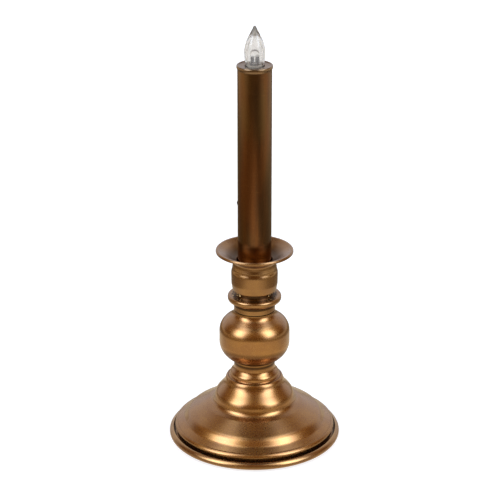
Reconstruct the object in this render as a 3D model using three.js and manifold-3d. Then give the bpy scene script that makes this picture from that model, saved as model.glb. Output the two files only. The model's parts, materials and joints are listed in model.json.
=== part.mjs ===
// A battery window candle on a turned metal holder, built from the pieces that it comes apart into.
// Millimetres, +Z up. The origin is under the middle of the foot, on the surface that it stands on.
import * as THREE from "three";
import { mergeVertices } from "three/addons/utils/BufferGeometryUtils.js";
import Module from "manifold-3d";

const wasm = await Module();
wasm.setup();

// Clearances
const FIT = 0.3; // running gap between neighbours
const SLIM = 0.15; // close gap round a battery cell

// Foot and dome
const FOOT_PAD_H = 1.0;
const FOOT_PAD_R = 3.5;
const FOOT_PAD_COUNT = 4;
const RING_LIFT = 0.8; // foot ring above the table
const RING_BEAD_R = 2.5;
const RING_BREADTH = 3.4; // bead and groove outside the dome's edge
const RING_LEDGE = 1.1;
const GROOVE = 0.9; // dark groove between the dome's foot wall and the ring
const SHELL = 0.9; // sheet metal thickness
const SKIRT_R = 45.5;
const SKIRT_STEP = 0.6;
const SKIRT_Z = 7.0;
const DOME_EDGE_Z = 9.85;
const FLANGE_IN = 5.0; // flange, from the edge inwards
const FLANGE_RISE = 1.65;
const SHOULDER_IN = 2.5;
const SHOULDER_RISE = 3.7;
const PLATEAU_IN = 14.6;
const PLATEAU_RISE = 8.0;
const BELL_H = 15.0; // from the cove at its foot to its flat top
const BELL_R = 15.8; // at its flat top
const ROD_HOLE = 4.3;

// Stem
const NECK_R = 11.7;
const COLLAR_R = 13.85;
const COLLAR_H = 9.7;
const BALL_R = 20.02;
const BALL_LOW_H = 12.03; // from its underside up to its widest place
const BALL_WALL_H = 6.87;
const BALL_TOP_H = 12.6;
const BALL_SHELL = 1.6;
const RING_NECK_H = 3.9;
const STEM_RING_R = 15.2;
const STEM_RING_H = 4.85;
const CUP_NECK_R = 10.8;
const CUP_NECK_H = 2.85;
const CUP_R = 13.17;
const CUP_H = 13.8;
const CUP_FLOOR = 3.4;
const CUP_WALL = 1.6;
const PAN_R = 21.87;
const PAN_H = 10.4;
const PAN_WALL = 1.1;

// Candle
const TUBE_R = 9.5;
const TUBE_WALL = 0.8;
const TUBE_L = 124.0;
const CAP_R = 9.98;
const CAP_H = 2.5;
const CAP_RIM = 1.0;
const CAP_SPIGOT = 3.0;
const CAP_HOLE_R = 6.1;
const TUBE_FOOT_FLANGE = 2.0;
const TUBE_FOOT_H = 11.6;
const SENSOR_UP = 46.7; // above the tube's lower end
const SENSOR_R = 1.3;
const SENSOR_OUT = 0.45;
const BOARD_W = 16.0;
const BOARD_L = 52.0;
const BOARD_T = 1.6;

// Tie rod
const ROD_R = 4.0;
const ROD_BORE = 2.6;
const NUT_FLAT = 12.5;
const NUT_H = 4.0;
const WASHER_R = 11.0;
const WASHER_T = 1.2;
const ROD_END = 3.0; // rod past its lower nut

// Battery bay
const CELL_R = 7.25;
const CELL_BODY = 49.5;
const CELL_NUB = 1.0;
const CELL_NUB_R = 2.75;
const CELL_PITCH = 15.6;
const PLATE_T = 2.0;
const DOOR_T = 1.0;
const CONTACT_T = 0.4;
const PLATE_HALF = 4.8; // contact plate past a cell's middle
const SPRING_L = 3.5;
const SPRING_WIRE = 0.35;
const TROUGH_WALL = 0.8;
const SCREW_IN = 6.9; // screw circle inside the skirt
const SCREW_COUNT = 4;
const SCREW_R = 1.15;
const SCREW_HEAD_R = 2.4;
const SCREW_HEAD_H = 1.1;
const SCREW_L = 7.5;
const BOSS_R = 2.8;

// Switch
const SWITCH_Y = 33.0;
const SWITCH_TRAVEL = 2.0; // each way from the middle
const KNOB_STEM = 1.4; // half of its width
const KNOB_HEAD = 2.4;
const KNOB_HEAD_H = 1.7;
const SWITCH_H = 4.6;

// Socket and bulb
const SOCKET_H = 14.0;
const SOCKET_FLOOR = 5.0;
const SOCKET_BORE = 5.75;
const SCREW_SHELL_R = 4.75;
const SCREW_SHELL_T = 0.3;
const SCREW_SHELL_L = 8.6;
const LENS_BASE_UP = -0.8; // lens foot from the tube's upper end
const LENS_H = 25.1;
const LENS_R = 5.52;
const LENS_WALL = 0.9;
const BULB_TIP_R = 1.3;
const BULB_TIP_H = 0.6;
const BULB_INSULATOR_H = 1.4;
const PLUG_UP = 3.4; // plug above the lens foot
const LAMP_R = 2.5;
const LAMP_L = 8.7;
const LAMP_FLANGE = 0.4;
const PLUNGER_R = 2.0;
const PLUNGER_HEAD = 0.8;
const PLUNGER_STEM_R = 1.2;
const WIRE_R = 0.6;

// Heights that follow from the sizes above
const plateTop = FOOT_PAD_H + PLATE_T;
const doorTop = FOOT_PAD_H + DOOR_T;
const doorCeiling = doorTop + FIT;
const cellZ = doorCeiling + 0.1 + CELL_R;
const bayHalf = (CELL_BODY + CELL_NUB + SPRING_L) / 2; // contact face from the middle
const bayWall = bayHalf + CONTACT_T;
const bayBack = bayWall + TROUGH_WALL;
const footWallR = SKIRT_R - SKIRT_STEP;
const ringR = SKIRT_R + FIT + RING_BREADTH;
const plateR = footWallR - SHELL - FIT;
const screwCircle = SKIRT_R - SCREW_IN;
const ledgeTop = RING_LIFT + RING_LEDGE;
const domeTop = DOME_EDGE_Z + FLANGE_RISE + SHOULDER_RISE + PLATEAU_RISE + BELL_H;
const ballBottom = domeTop + COLLAR_H;
const ballTop = ballBottom + BALL_LOW_H + BALL_WALL_H + BALL_TOP_H;
const ringKnopZ = ballTop + RING_NECK_H;
const cupBottom = ringKnopZ + STEM_RING_H;
const cupTop = cupBottom + CUP_NECK_H + CUP_H;
const cupFloorZ = cupBottom + CUP_NECK_H + CUP_FLOOR;
const tubeBottom = cupFloorZ + TUBE_FOOT_FLANGE;
const tubeTop = tubeBottom + TUBE_L;
const tubeBore = TUBE_R - TUBE_WALL;
const boardBottom = tubeBottom + TUBE_FOOT_H;
const washerTop = domeTop - SHELL;
const rodBottom = washerTop - WASHER_T - NUT_H - ROD_END;
const rodTop = tubeBottom + NUT_H + 1.6;
const socketTop = tubeTop - CAP_SPIGOT;
const socketFloor = socketTop - SOCKET_H + SOCKET_FLOOR;
const lensFoot = tubeTop + LENS_BASE_UP;
const shellBottom = lensFoot - SCREW_SHELL_L;
const bulbTipZ = shellBottom - BULB_INSULATOR_H - BULB_TIP_H;
const plugTop = lensFoot + PLUG_UP;
const nutCorner = NUT_FLAT / 2 / Math.cos(Math.PI / 6);

// Materials
const metal = (color, roughness) => new THREE.MeshStandardMaterial({ color, roughness, metalness: 1 });
const solid = (color, roughness) => new THREE.MeshStandardMaterial({ color, roughness, metalness: 0 });
const bronze = metal(0x96693a, 0.35);
const darkBronze = metal(0x7a5330, 0.4);
const steel = metal(0xb4b4b0, 0.35);
const brass = metal(0xc9a44a, 0.3);
const blackPlastic = solid(0x1c1a18, 0.5);
const whitePlastic = solid(0xe8e4da, 0.5);
const rubber = solid(0x242322, 0.85);
const clear = new THREE.MeshStandardMaterial({
  color: 0xf4f2ec,
  roughness: 0.05,
  transparent: true,
  opacity: 0.4,
});
const boardGreen = solid(0x1f5a34, 0.5);
const cellSkin = solid(0x2f6f6a, 0.4);
const redWire = solid(0xa81c18, 0.45);
const blackWire = solid(0x151515, 0.45);
const sensorTint = solid(0x2a1710, 0.15);

// An outline from corners [x, y, fillet]: each fillet becomes an arc, cut back where its sides are short.
function outline(corners, closed = false, step = 30) {
  const out = [];
  const n = corners.length;
  corners.forEach(([x, y, radius = 0], i) => {
    const here = new THREE.Vector2(x, y);
    const end = !closed && (i === 0 || i === n - 1);
    if (radius === 0 || end) {
      out.push(here);
      return;
    }
    const back = new THREE.Vector2(...corners[(i + n - 1) % n].slice(0, 2)).sub(here);
    const ahead = new THREE.Vector2(...corners[(i + 1) % n].slice(0, 2)).sub(here);
    const half = Math.acos(back.clone().normalize().dot(ahead.clone().normalize())) / 2;
    const reach = Math.min(radius / Math.tan(half), 0.49 * back.length(), 0.49 * ahead.length());
    const r = reach * Math.tan(half);
    const u = back.normalize();
    const v = ahead.normalize();
    const centre = u.clone().add(v).normalize().multiplyScalar(r / Math.sin(half)).add(here);
    const from = here.clone().addScaledVector(u, reach).sub(centre);
    const to = here.clone().addScaledVector(v, reach).sub(centre);
    const turn = Math.atan2(from.cross(to), from.dot(to));
    const steps = Math.max(1, Math.round(Math.abs(turn) / THREE.MathUtils.degToRad(step)));
    for (let k = 0; k <= steps; k++) {
      out.push(from.clone().rotateAround(new THREE.Vector2(), (turn * k) / steps).add(centre));
    }
  });
  return out;
}

// Points on an ellipse arc, angles in degrees
function ellipseArc(cx, cy, a, b, start, end, steps) {
  const out = [];
  for (let k = 0; k <= steps; k++) {
    const t = THREE.MathUtils.degToRad(start + ((end - start) * k) / steps);
    out.push(new THREE.Vector2(cx + a * Math.cos(t), cy + b * Math.sin(t)));
  }
  return out;
}

// Welds a geometry to bare positions with shared vertices, without triangles that have shrunk to a line
function weld(geometry) {
  const bare = (geometry.index ? geometry.toNonIndexed() : geometry).clone();
  for (const name of Object.keys(bare.attributes)) {
    if (name !== "position") bare.deleteAttribute(name);
  }
  const merged = mergeVertices(bare, 1e-4);
  const index = merged.index.array;
  const kept = [];
  for (let i = 0; i < index.length; i += 3) {
    const [a, b, c] = [index[i], index[i + 1], index[i + 2]];
    if (a !== b && b !== c && c !== a) kept.push(a, b, c);
  }
  merged.setIndex(kept);
  return merged;
}

// A turned solid about Z. A closed profile lists [r, z] points once round.
// An open one starts and ends on the axis.
function turned(points, segments = 28) {
  const list = points.map((p) => (p.isVector2 ? p : new THREE.Vector2(p[0], p[1])));
  const area = list.reduce((sum, p, i) => sum + p.cross(list[(i + 1) % list.length]), 0);
  if (area < 0) list.reverse();
  const onAxis = list.some((p) => p.x < 1e-6);
  if (!onAxis) list.push(list[0].clone());
  while (onAxis && list[0].x > 1e-6) list.push(list.shift());
  if (onAxis && list[list.length - 1].x > 1e-6) list.push(list.shift());
  return weld(new THREE.LatheGeometry(list, segments).rotateX(Math.PI / 2));
}

// A ring between two radii and two heights
function collar(rIn, rOut, z0, z1, segments = 24) {
  return turned([[rIn, z0], [rOut, z0], [rOut, z1], [rIn, z1]], segments);
}

// A solid round bar along Z
function bar(r, z0, z1, segments = 24) {
  const round = new THREE.CylinderGeometry(r, r, z1 - z0, segments).rotateX(Math.PI / 2);
  return weld(round.translate(0, 0, (z0 + z1) / 2));
}

// A solid round bar along X
function crossBar(r, x0, x1, y, z, segments = 24) {
  const round = new THREE.CylinderGeometry(r, r, x1 - x0, segments).rotateZ(Math.PI / 2);
  return weld(round.translate((x0 + x1) / 2, y, z));
}

// A box from its two corners
function block(x0, x1, y0, y1, z0, z1) {
  const box = new THREE.BoxGeometry(x1 - x0, y1 - y0, z1 - z0);
  return weld(box.translate((x0 + x1) / 2, (y0 + y1) / 2, (z0 + z1) / 2));
}

function toSolid(geometry) {
  return new wasm.Manifold(
    new wasm.Mesh({
      numProp: 3,
      vertProperties: new Float32Array(geometry.attributes.position.array),
      triVerts: new Uint32Array(geometry.index.array),
    }),
  );
}

function fromSolid(shape) {
  const mesh = shape.getMesh();
  const geometry = new THREE.BufferGeometry();
  geometry.setAttribute("position", new THREE.BufferAttribute(new Float32Array(mesh.vertProperties), 3));
  geometry.setIndex(new THREE.BufferAttribute(new Uint32Array(mesh.triVerts), 1));
  return geometry;
}

// Joins the first list of geometries and cuts the second list out of them
function carve(joined, cut = []) {
  let shape = toSolid(joined[0]);
  joined.slice(1).forEach((g) => {
    shape = shape.add(toSolid(g));
  });
  cut.forEach((g) => {
    shape = shape.subtract(toSolid(g));
  });
  return fromSolid(shape);
}

// Keeps what two geometries share
function overlap(a, b) {
  return fromSolid(toSolid(a).intersect(toSolid(b)));
}

// A round tube along a curve
function alongCurve(curve, radius, steps, sides) {
  const section = new THREE.Shape(ellipseArc(0, 0, radius, radius, 0, 360 - 360 / sides, sides - 1));
  return weld(new THREE.ExtrudeGeometry(section, { steps, extrudePath: curve, curveSegments: sides }));
}

const candle = new THREE.Group();

function piece(name, geometry, material) {
  const mesh = new THREE.Mesh(geometry, material);
  mesh.name = name;
  candle.add(mesh);
  return mesh;
}

// Places copies of a geometry evenly on a circle, the first at the given angle in degrees
function onCircle(count, radius, firstAngle, make) {
  for (let i = 0; i < count; i++) {
    const angle = THREE.MathUtils.degToRad(firstAngle + (360 * i) / count);
    make(i + 1, radius * Math.cos(angle), radius * Math.sin(angle));
  }
}

// Foot ring: a rolled bead with a ledge that carries the dome's foot wall
function footRing() {
  const inner = footWallR + GROOVE;
  const top = RING_LIFT + 2 * RING_BEAD_R;
  return turned(
    outline(
      [
        [footWallR - SHELL, RING_LIFT],
        [ringR, RING_LIFT, RING_BEAD_R],
        [ringR, top, RING_BEAD_R],
        [inner, top, 0.4],
        [inner, ledgeTop],
        [footWallR - SHELL, ledgeTop],
      ],
      true,
    ),
    36,
  );
}

// The dome's corners from its foot wall to its flat top, for the outer face or one sheet thickness inside it
function domeCorners(inset) {
  const flangeR = SKIRT_R - FLANGE_IN;
  const flangeZ = DOME_EDGE_Z + FLANGE_RISE;
  const shoulderR = flangeR - SHOULDER_IN;
  const shoulderZ = flangeZ + SHOULDER_RISE;
  const coveR = shoulderR - PLATEAU_IN;
  const coveZ = shoulderZ + PLATEAU_RISE;
  const bellFoot = BELL_R + (coveR - BELL_R) * 0.83;
  const bellWaist = BELL_R + (coveR - BELL_R) * 0.23;
  const corners = [
    [footWallR, ledgeTop],
    [footWallR, SKIRT_Z],
    [SKIRT_R, SKIRT_Z, 0.2],
    [SKIRT_R, DOME_EDGE_Z, 0.5],
    [flangeR, flangeZ, 2.5],
    [shoulderR, shoulderZ, 3.5],
    [coveR, coveZ, 3.6],
    [bellFoot, coveZ + BELL_H * 0.35, 5],
    [bellWaist, coveZ + BELL_H * 0.71, 5],
    [BELL_R, domeTop, 1.1],
    [ROD_HOLE, domeTop],
  ];
  if (inset === 0) return corners;
  return corners.map(([r, z], i) => {
    if (i === 0) return [r - inset, z];
    if (i === corners.length - 1) return [r, z - inset];
    const [r0, z0] = corners[i - 1];
    const [r1, z1] = corners[i + 1];
    const a = new THREE.Vector2(r - r0, z - z0).normalize();
    const b = new THREE.Vector2(r1 - r, z1 - z).normalize();
    const side = new THREE.Vector2(-a.y - b.y, a.x + b.x).normalize();
    const reach = inset / Math.max(0.5, side.x * -a.y + side.y * a.x);
    return [r + side.x * reach, z + side.y * reach];
  });
}

function baseDome() {
  const inner = domeCorners(SHELL);
  const shell = turned([...outline(domeCorners(0)), ...inner.reverse()], 36);
  const middle = domeCorners(SHELL / 2).slice(0, -1);
  const under = turned([[0, ledgeTop], ...middle, [0, domeTop - SHELL / 2]], 36);
  const bosses = [];
  const pilots = [];
  onCircle(SCREW_COUNT, screwCircle, 45, (i, x, y) => {
    bosses.push(overlap(bar(BOSS_R, plateTop, domeTop, 16).translate(x, y, 0), under));
    pilots.push(bar(SCREW_R + FIT, plateTop - 1, plateTop + SCREW_L, 12).translate(x, y, 0));
  });
  return carve([shell, ...bosses], pilots);
}

function stemCollar() {
  const foot = COLLAR_R + 0.85;
  return turned(
    outline(
      [
        [ROD_HOLE, domeTop],
        [foot, domeTop, 0.15],
        [COLLAR_R, domeTop + 0.85, 0.3],
        [COLLAR_R, domeTop + 2.3, 1.2],
        [NECK_R, domeTop + 5.0, 1.6],
        [NECK_R, ballBottom],
        [ROD_HOLE, ballBottom],
      ],
      true,
    ),
  );
}

// The ball: an ellipse below its widest place, then a short wall, a broad shoulder and a neck
function stemBall() {
  const middle = ballBottom + BALL_LOW_H;
  const wallTop = middle + BALL_WALL_H;
  const fullDepth = BALL_LOW_H / Math.sqrt(1 - (NECK_R / BALL_R) ** 2);
  const neckAngle = THREE.MathUtils.radToDeg(Math.asin(BALL_LOW_H / fullDepth));
  const slope = 0.488; // rise over run of the shoulder
  const shoulderZ = wallTop + 5.9;
  const neckZ = shoulderZ + (BALL_R - NECK_R) * slope;
  const low = ellipseArc(0, middle, BALL_R, fullDepth, -neckAngle, 0, 7);
  const high = outline([
    [BALL_R, middle],
    [BALL_R, shoulderZ, 9.5],
    [NECK_R, neckZ, 2.2],
    [NECK_R, ballTop],
    [ROD_HOLE, ballTop],
  ], false, 18);
  const inner = [
    [ROD_HOLE, ballTop - BALL_SHELL],
    [NECK_R - BALL_SHELL, ballTop - BALL_SHELL],
    [NECK_R - BALL_SHELL, neckZ - BALL_SHELL],
    [BALL_R * 0.74, wallTop + BALL_SHELL],
    [BALL_R - BALL_SHELL, wallTop - BALL_SHELL],
    [BALL_R - BALL_SHELL, middle],
    [BALL_R * 0.72, ballBottom + BALL_LOW_H * 0.35],
    [NECK_R - BALL_SHELL, ballBottom + BALL_SHELL],
    [ROD_HOLE, ballBottom + BALL_SHELL],
  ];
  return turned([[ROD_HOLE, ballBottom], ...low, ...high.slice(1), ...inner]);
}

function stemRing() {
  return turned(
    outline(
      [
        [ROD_HOLE, ballTop],
        [NECK_R, ballTop],
        [NECK_R, ringKnopZ, 0.6],
        [STEM_RING_R, ringKnopZ + STEM_RING_H * 0.35, 2.0],
        [STEM_RING_R, cupBottom, 1.1],
        [ROD_HOLE, cupBottom],
      ],
      true,
    ),
  );
}

function candleCup() {
  const underside = cupBottom + CUP_NECK_H;
  const bore = CUP_R - CUP_WALL;
  return turned(
    outline(
      [
        [ROD_HOLE, cupBottom],
        [CUP_NECK_R, cupBottom],
        [CUP_NECK_R, underside, 0.4],
        [CUP_R - 0.65, underside + 0.2, 0.8],
        [CUP_R - 0.05, underside + 4.5, 4],
        [CUP_R, cupTop - 2.1, 0.35],
        [CUP_R - 0.65, cupTop, 0.3],
        [bore, cupTop],
        [bore, cupFloorZ],
        [ROD_HOLE, cupFloorZ],
      ],
      true,
    ),
  );
}

// Drip pan: a short neck that stands on the cup, a flared wall and a rim that rolls over outwards
function dripPan() {
  const neck = CUP_R - 0.65;
  const throat = neck - PAN_WALL;
  const crest = cupTop + PAN_H;
  return turned(
    outline(
      [
        [throat, cupTop],
        [neck, cupTop],
        [neck, cupTop + 1.6, 3],
        [PAN_R - 7.0, crest - 5.3, 14],
        [PAN_R - 1.1, crest - 2.0, 0.8],
        [PAN_R, crest - 1.6, 0.5],
        [PAN_R, crest, 1.2],
        [PAN_R - 3.2, crest - 0.35, 2],
        [throat + 2.1, crest - 4.4, 6],
        [throat, cupTop + 3.0, 4],
      ],
      true,
      24,
    ),
    32,
  );
}

function candleTube() {
  const tube = collar(tubeBore, TUBE_R, tubeBottom, tubeTop, 28);
  const window = crossBar(SENSOR_R + FIT, -TUBE_R - 1, -tubeBore + 2, 0, tubeBottom + SENSOR_UP, 16);
  return carve([tube], [window]);
}

function tubeCap() {
  const spigotR = tubeBore - FIT;
  const top = tubeTop + CAP_H;
  return turned(
    outline(
      [
        [CAP_HOLE_R, tubeTop - CAP_SPIGOT],
        [spigotR, tubeTop - CAP_SPIGOT],
        [spigotR, tubeTop],
        [CAP_R, tubeTop, 0.3],
        [CAP_R, top, 0.7],
        [CAP_R - CAP_RIM, top, 0.2],
        [CAP_R - CAP_RIM, top - 0.5],
        [CAP_HOLE_R, top - 0.5, 0.2],
      ],
      true,
      45,
    ),
  );
}

function tubeFoot() {
  const spigotR = tubeBore - FIT;
  const well = nutCorner + FIT;
  const flangeR = CUP_R - CUP_WALL - 0.5;
  return turned([
    [ROD_HOLE, cupFloorZ],
    [flangeR, cupFloorZ],
    [flangeR, tubeBottom],
    [spigotR, tubeBottom],
    [spigotR, boardBottom],
    [well, boardBottom],
    [well, tubeBottom],
    [ROD_HOLE, tubeBottom],
  ], 24);
}

function hexNut(z0) {
  return carve([bar(nutCorner, z0, z0 + NUT_H, 6)], [bar(ROD_HOLE, z0 - 1, z0 + NUT_H + 1, 24)]);
}

// Battery rows: the place of each cell across the foot, and which way its positive end points along X
const rows = [
  { y: -CELL_PITCH, facing: 1 },
  { y: 0, facing: -1 },
  { y: CELL_PITCH, facing: 1 },
];

function cell(row) {
  const flat = row.facing * (bayHalf - CELL_NUB - CELL_BODY);
  const shoulder = row.facing * (bayHalf - CELL_NUB);
  const tip = row.facing * bayHalf;
  const body = crossBar(CELL_R, Math.min(flat, shoulder), Math.max(flat, shoulder), row.y, cellZ, 20);
  const inside = shoulder - row.facing * 0.5;
  const nub = crossBar(CELL_NUB_R, Math.min(inside, tip), Math.max(inside, tip), row.y, cellZ, 16);
  return carve([body, nub]);
}

// A cone-shaped coil between the contact plate and a cell's flat end
class Coil extends THREE.Curve {
  constructor(row) {
    super();
    this.row = row;
  }
  getPoint(t, target = new THREE.Vector3()) {
    const turns = 2.5;
    const margin = SPRING_WIRE + 0.1;
    const wide = 4.6;
    const narrow = 2.9;
    const radius = wide + (narrow - wide) * t;
    const angle = 2 * Math.PI * turns * t;
    const along = -bayHalf + margin + (SPRING_L - 2 * margin) * t;
    return target.set(
      this.row.facing * along,
      this.row.y + radius * Math.cos(angle),
      cellZ + radius * Math.sin(angle),
    );
  }
}

// A contact plate at one end wall, from one y to another
function contactPlate(side, y0, y1) {
  const x = side * (bayHalf + CONTACT_T / 2);
  const half = CONTACT_T / 2;
  return block(x - half, x + half, y0, y1, cellZ - PLATE_HALF, cellZ + 2.8);
}

const tabZ = cellZ + 1.35; // middle of the two solder tabs
const tabEnd = bayBack + 1.0;

function outputPlate(side, y) {
  const from = side * (bayHalf + CONTACT_T / 2);
  const to = side * tabEnd;
  const tab = block(Math.min(from, to), Math.max(from, to), y - 1, y + 1, tabZ - 0.5, tabZ + 0.5);
  return carve([contactPlate(side, y - PLATE_HALF, y + PLATE_HALF), tab]);
}

const hingeY = -CELL_PITCH - CELL_R - TROUGH_WALL - 0.35;
const hingeZ = FOOT_PAD_H + DOOR_T / 2;
const doorHalf = bayBack + 2.6;
const doorFar = CELL_PITCH + CELL_R + TROUGH_WALL + 0.65;
const pinEnd = doorHalf + 1.4;
const pinR = DOOR_T * 0.45;

function batteryTray() {
  const bore = CELL_R + SLIM;
  const roof = bore + TROUGH_WALL;
  const side = CELL_PITCH + roof;
  const roofHalf = bayHalf - 3; // the roofs stop short of the end walls
  const slotY = CELL_PITCH + 5.6; // half of the contact slots' width
  const cut = 3; // overshoot of the cutters
  const joined = [
    bar(plateR, FOOT_PAD_H, plateTop, 36),
    block(-bayBack, bayBack, -side, side, FOOT_PAD_H, cellZ),
  ];
  const cuts = [];
  rows.forEach(({ y }) => {
    joined.push(crossBar(roof, -roofHalf, roofHalf, y, cellZ, 20));
    cuts.push(crossBar(bore, -bayWall, bayWall, y, cellZ, 20));
    cuts.push(block(-bayWall, bayWall, y - bore, y + bore, FOOT_PAD_H - cut, cellZ));
  });
  [-1, 1].forEach((end) => {
    const wallIn = Math.min(end * bayWall, end * bayBack);
    const wallOut = Math.max(end * bayWall, end * bayBack);
    joined.push(block(wallIn, wallOut, -side + 1.8, side - 1.8, FOOT_PAD_H, cellZ + 3.1));
    const slotIn = Math.min(end * (bayHalf - FIT), end * bayWall);
    const slotOut = Math.max(end * (bayHalf - FIT), end * bayWall);
    cuts.push(block(slotIn, slotOut, -slotY, slotY, doorCeiling, cellZ + 5));
    const tabY = end * CELL_PITCH;
    cuts.push(block(wallIn - 0.1, wallOut + 0.1, tabY - 1.3, tabY + 1.3, tabZ - 0.8, tabZ + 0.8));
    const pinIn = Math.min(end * (doorHalf + FIT - 0.1), end * (pinEnd + FIT));
    const pinOut = Math.max(end * (doorHalf + FIT - 0.1), end * (pinEnd + FIT));
    const pinSlot = pinR + FIT;
    cuts.push(block(pinIn, pinOut, hingeY - pinSlot, hingeY + pinSlot, FOOT_PAD_H - cut, hingeZ + pinSlot));
  });
  const recess = doorHalf + FIT;
  cuts.push(block(-recess, recess, hingeY - DOOR_T / 2 - FIT, doorFar + FIT, FOOT_PAD_H - cut, doorCeiling));
  const slotHalf = SWITCH_TRAVEL + KNOB_STEM + FIT;
  const slotDeep = KNOB_STEM + FIT;
  const slotLow = FOOT_PAD_H - cut;
  cuts.push(block(-slotHalf, slotHalf, SWITCH_Y - slotDeep, SWITCH_Y + slotDeep, slotLow, plateTop + cut));
  onCircle(SCREW_COUNT, screwCircle, 45, (i, x, y) => {
    cuts.push(bar(SCREW_R + FIT, FOOT_PAD_H - cut, plateTop + cut, 12).translate(x, y, 0));
    const head = bar(SCREW_HEAD_R + FIT, FOOT_PAD_H - cut, FOOT_PAD_H + SCREW_HEAD_H + 0.1, 16);
    cuts.push(head.translate(x, y, 0));
  });
  return carve(joined, cuts);
}

// Battery door: a flat lid whose rounded hinge edge has a pin at each end, with three finger grooves
function batteryDoor() {
  const lid = block(-doorHalf, doorHalf, hingeY, doorFar, FOOT_PAD_H, doorTop);
  const edge = crossBar(DOOR_T / 2, -doorHalf, doorHalf, hingeY, hingeZ, 16);
  const pins = crossBar(pinR, -pinEnd, pinEnd, hingeY, hingeZ, 12);
  const grooves = [0, 1, 2].map((i) => {
    const y = doorFar - 3.0 - 2.2 * i;
    return block(-7, 7, y - 0.6, y + 0.6, FOOT_PAD_H - 1, FOOT_PAD_H + 0.4);
  });
  return carve([lid, edge, pins], grooves);
}

// Tray screw: a flat head inside its recess, and a shank in the dome's boss
function trayScrew(x, y) {
  const under = FOOT_PAD_H + 0.1;
  const head = bar(SCREW_HEAD_R, under, under + SCREW_HEAD_H, 16);
  const shank = bar(SCREW_R, under + SCREW_HEAD_H - 0.2, plateTop + SCREW_L - 0.8, 12);
  return carve([head, shank]).translate(x, y, 0);
}

// Slide switch: a housing that stands on the plate, with its knob through the plate
const housingTop = plateTop + SWITCH_H;
const knobHeadZ = plateTop + FIT;

function switchHousing() {
  const halfX = SWITCH_TRAVEL + KNOB_HEAD + FIT + 1.1;
  const halfY = KNOB_HEAD + FIT + 0.8;
  const roomX = SWITCH_TRAVEL + KNOB_HEAD + FIT;
  const roomY = KNOB_HEAD + FIT;
  const roomTop = knobHeadZ + KNOB_HEAD_H + FIT;
  const box = block(-halfX, halfX, SWITCH_Y - halfY, SWITCH_Y + halfY, plateTop, housingTop);
  const hollow = block(-roomX, roomX, SWITCH_Y - roomY, SWITCH_Y + roomY, plateTop - 1, roomTop);
  const terminals = [-2.5, 0, 2.5].map((x) => {
    return block(x - 0.6, x + 0.6, SWITCH_Y - 0.4, SWITCH_Y + 0.4, housingTop - 0.5, housingTop + 1.6);
  });
  return carve([box, ...terminals], [hollow]);
}

function switchKnob() {
  const stemBottom = FOOT_PAD_H - 0.4;
  const square = (half, z0, z1) => block(-half, half, SWITCH_Y - half, SWITCH_Y + half, z0, z1);
  const stem = square(KNOB_STEM, stemBottom, knobHeadZ + 0.5);
  return carve([stem, square(KNOB_HEAD, knobHeadZ, knobHeadZ + KNOB_HEAD_H)]);
}

// Light sensor: a domed body that looks out through the tube wall, on two leads from the board
function lightSensor() {
  const z = tubeBottom + SENSOR_UP;
  const face = -BOARD_T / 2;
  const bodyBack = -TUBE_R + 5.0;
  const nose = SENSOR_OUT + 0.4; // height of its rounded nose
  const straight = TUBE_R + SENSOR_OUT + bodyBack - nose;
  const dome = turned([[0, 0], [SENSOR_R, 0], ...ellipseArc(0, straight, SENSOR_R, nose, 0, 90, 4)], 16);
  dome.rotateY(-Math.PI / 2).translate(bodyBack, 0, z);
  const leads = [z - 0.6, z + 0.6].map((at) => {
    return block(bodyBack - 0.5, face, -0.25, 0.25, at - 0.25, at + 0.25);
  });
  return carve([dome, ...leads]);
}

// Socket: an insulating body with a sprung centre contact in its floor.
// A metal shell in it holds the bulb's screw.
const springSeat = socketFloor - 3.8;

function socketBody() {
  const outer = tubeBore - FIT;
  return turned([
    [PLUNGER_STEM_R + FIT, socketTop - SOCKET_H],
    [outer, socketTop - SOCKET_H],
    [outer, socketTop],
    [SOCKET_BORE, socketTop],
    [SOCKET_BORE, socketFloor],
    [PLUNGER_R + 0.4, socketFloor],
    [PLUNGER_R + 0.4, springSeat],
    [PLUNGER_STEM_R + FIT, springSeat],
  ], 24);
}

function contactPlunger() {
  const headBottom = bulbTipZ - PLUNGER_HEAD;
  return turned([
    [0, socketTop - SOCKET_H - 1.8],
    [PLUNGER_STEM_R, socketTop - SOCKET_H - 1.8],
    [PLUNGER_STEM_R, headBottom],
    [PLUNGER_R, headBottom],
    [PLUNGER_R, bulbTipZ],
    [0, bulbTipZ],
  ], 16);
}

class StraightCoil extends THREE.Curve {
  getPoint(t, target = new THREE.Vector3()) {
    const turns = 3.5;
    const radius = (PLUNGER_R + PLUNGER_STEM_R) / 2 + 0.12;
    const low = springSeat + 0.35;
    const high = bulbTipZ - PLUNGER_HEAD - 0.35;
    const angle = 2 * Math.PI * turns * t;
    return target.set(radius * Math.cos(angle), radius * Math.sin(angle), low + (high - low) * t);
  }
}

// Bulb lens: a hollow flame, widest a third of the way up, drawn in to a point
function bulbLens() {
  const at = (r, up) => new THREE.Vector2(r, lensFoot + up);
  const tip = LENS_H;
  const outer = new THREE.SplineCurve([
    at(SCREW_SHELL_R, 0),
    at(LENS_R * 0.95, 4.2),
    at(LENS_R, 10.5),
    at(LENS_R * 0.925, 14.1),
    at(LENS_R * 0.8, 16.5),
    at(LENS_R * 0.45, 21.0),
    at(LENS_R * 0.1, tip - 0.35),
    at(0, tip),
  ]).getPoints(13);
  const inner = new THREE.SplineCurve([
    at(0, tip - 4.0),
    at(LENS_R * 0.36, tip - 7.0),
    at(LENS_R * 0.7, 13.6),
    at(LENS_R - LENS_WALL, 8.5),
    at(LENS_R - LENS_WALL, 4.2),
    at(SCREW_SHELL_R - LENS_WALL, 0),
  ]).getPoints(7);
  return turned([...outer, ...inner], 20);
}

function bulbShell() {
  return collar(SCREW_SHELL_R - SCREW_SHELL_T, SCREW_SHELL_R, shellBottom, lensFoot, 24);
}

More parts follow.
